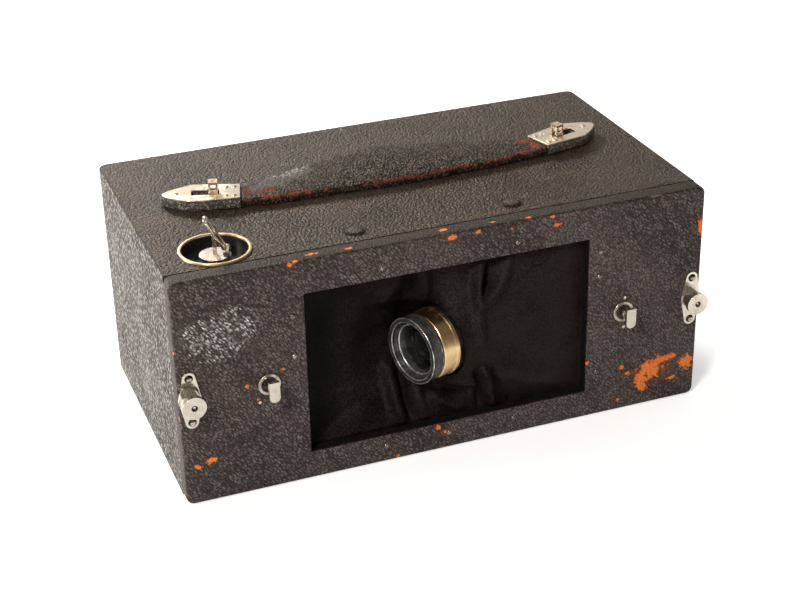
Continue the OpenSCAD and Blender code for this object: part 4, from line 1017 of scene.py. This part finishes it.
finishes = {
    "stainedBase": ["top_board", "back_board", "bottom_board", *both("end_board")],
    "capLeather": ["plug_caps"],
    "lensBrass": ["lens_flange"],
    "keyBrass": ["key_rim", "window_bezel", "tripod_bush", "upper_pivot_bracket", "lower_pivot_bracket",
                 "spring_post"],
    "hoodLacquer": ["lens_hood"],
    "curtainCloth": ["slit_cone"],   # covered like the curtain, since it shows at the end of the swing
    "blackLacquer": ["lens_tube", "aperture_plate", "upper_film_gate", "lower_film_gate", "takeup_spool",
                     "supply_spool", "key_cup", "curtain_frame"],
    "plainSteel": ["lens_yoke", "spool_pins", *both("guide_roller"), *both("pawl")],
    "plateNickel": ["handle_staples", *both("handle_plate"), *both("handle_rivets")],
    "agedNickel": ["key_hinge_pin", "key_leaf", "post_plates", "stop_pins", *both("lever")],
    "screwNickel": ["post_plate_screws"],
    "postNickel": both("post_screw"),
    "leverNickel": ["lever_rings", "key_disc"],
    "filmBacking": ["film_band", "takeup_film", "supply_film"],
    "lensGlass": ["front_glass", "rear_glass"],
    "rubyGlass": ["red_window"],
}
rounding = {"weld": 0.002, "segments": 3, "fromDeg": 32, "widths": {   # all but the angle in mm
    0.15: ["key_disc"],
    0.2: ["key_rim", "lens_hood", "lens_flange", "stop_pins", *both("handle_rivets")],
    0.25: ["key_leaf"],
    0.3: ["window_bezel"],
    0.35: ["lever_rings", *both("handle_plate"), *both("post_screw")],
    0.4: ["post_plates", *both("lever")],
}}


def roundEdges(piece, width, size):
    weld = piece.modifiers.new("weld", "WELD")
    weld.merge_threshold = size["weld"] * mm
    bevel = piece.modifiers.new("rounding", "BEVEL")
    bevel.width, bevel.segments, bevel.limit_method = width * mm, size["segments"], "ANGLE"
    bevel.angle_limit, bevel.use_clamp_overlap = radians(size["fromDeg"]), True
    piece.data.shade_smooth()
    piece.modifiers.new("shading", "WEIGHTED_NORMAL")


for finish, names in finishes.items():
    for name in names:
        dress(nodes[name], finish)
for width, names in rounding["widths"].items():
    for name in names:
        roundEdges(nodes[name], width, rounding)
print("CAD pieces dressed")


# floor, light and camera; lengths here are in metres

studio = {"dim": 0.2, "bright": 0.6, "roomSpan": (-0.4, 0.7), "warm": (1, 0.955, 0.9), "floorSize": 6,
          "floorDrop": 0.0003, "floor": (0.9, 0.9, 0.9), "floorGlow": (0.44, 0.75), "glowSpan": (0.7, 2),
          "aim": (0, 0, 0.06), "lamps": [   # name, place, size and power
              ("backLight", (-0.25, 1.45, 0.95), (0.4, 0.3), 36),
              ("leftLight", (-1.35, 0.3, 0.45), (0.35, 0.85), 10),
              ("frontLight", (-1, -1, 1.2), (0.35, 0.35), 23)]}


def seenDirectly(g):  # 1 for camera and transmission rays
    path = g.add("LightPath").outputs
    return g.math("MAXIMUM", path["Is Camera Ray"], path["Is Transmission Ray"])


def makeRoom(size):  # brighter behind the object than before it, and white to the camera
    world = bpy.data.worlds.new("studioWorld")
    world.use_nodes = True
    scene.world = world
    g = Graph(world.node_tree)
    direct = seenDirectly(g)
    behind = g.split(g.add("TexCoord").outputs["Generated"])[1]
    room = g.ramp(behind, *size["roomSpan"], size["dim"], size["bright"])
    g.putAll(g.tree.nodes["Background"].inputs, {"Strength": g.math("MAXIMUM", direct, room),
                                                 "Color": g.mix(direct, size["warm"], (1, 1, 1))})


def buildFloor(g, coords, look):  # fades to white far away
    glow = g.ramp(g.vector("LENGTH", coords), *look["glowSpan"], *look["floorGlow"])
    return {"Base Color": look["floor"], "Roughness": 1, "Specular IOR Level": 0, "Emission Color": (1, 1, 1),
            "Emission Strength": g.times(seenDirectly(g), glow)}


def makeFloor(size):
    reach = size["floorSize"] / 2 / mm
    corners = [(-reach, -reach, 0), (reach, -reach, 0), (reach, reach, 0), (-reach, reach, 0)]
    floor = newPiece("floor", corners, [(0, 1, 2, 3)])
    floor.location.z = -size["floorDrop"]
    floor.data.materials.append(newMaterial("paleFloor", buildFloor, size))


def makeLamps(size):
    for name, place, extent, power in size["lamps"]:
        light = bpy.data.lights.new(name, "AREA")
        light.shape, light.size, light.size_y, light.energy = "RECTANGLE", extent[0], extent[1], power
        light.color = size["warm"]
        lamp = bpy.data.objects.new(name, light)
        lamp.location = place
        lamp.rotation_euler = (Vector(size["aim"]) - Vector(place)).to_track_quat("-Z", "Y").to_euler()
        lamp.visible_camera = False
        scene.collection.objects.link(lamp)


makeRoom(studio)
makeFloor(studio)
makeLamps(studio)

viewpoint = {"place": (-0.2732, -0.7407, 0.4562), "azimuth": -20.365, "elevation": 27.424, "roll": -1.323,
             "lens": 76.07, "sensor": 36}


def makeCamera(size):
    a, e, r = (radians(size[k]) for k in ("azimuth", "elevation", "roll"))
    back = Vector((sin(a) * cos(e), -cos(a) * cos(e), sin(e)))
    level = Vector((cos(a), sin(a), 0))
    right = level * cos(r) + back.cross(level) * sin(r)
    turn = Matrix((right, back.cross(right), back)).transposed().to_4x4()
    data = bpy.data.cameras.new("photoCamera")
    data.lens, data.sensor_width = size["lens"], size["sensor"]
    camera = bpy.data.objects.new("photoCamera", data)
    camera.matrix_world = Matrix.Translation(size["place"]) @ turn
    scene.collection.objects.link(camera)
    scene.camera = camera


makeCamera(viewpoint)
scene.view_settings.view_transform = "Standard"
print("studio and camera made")

bpy.context.view_layer.update()
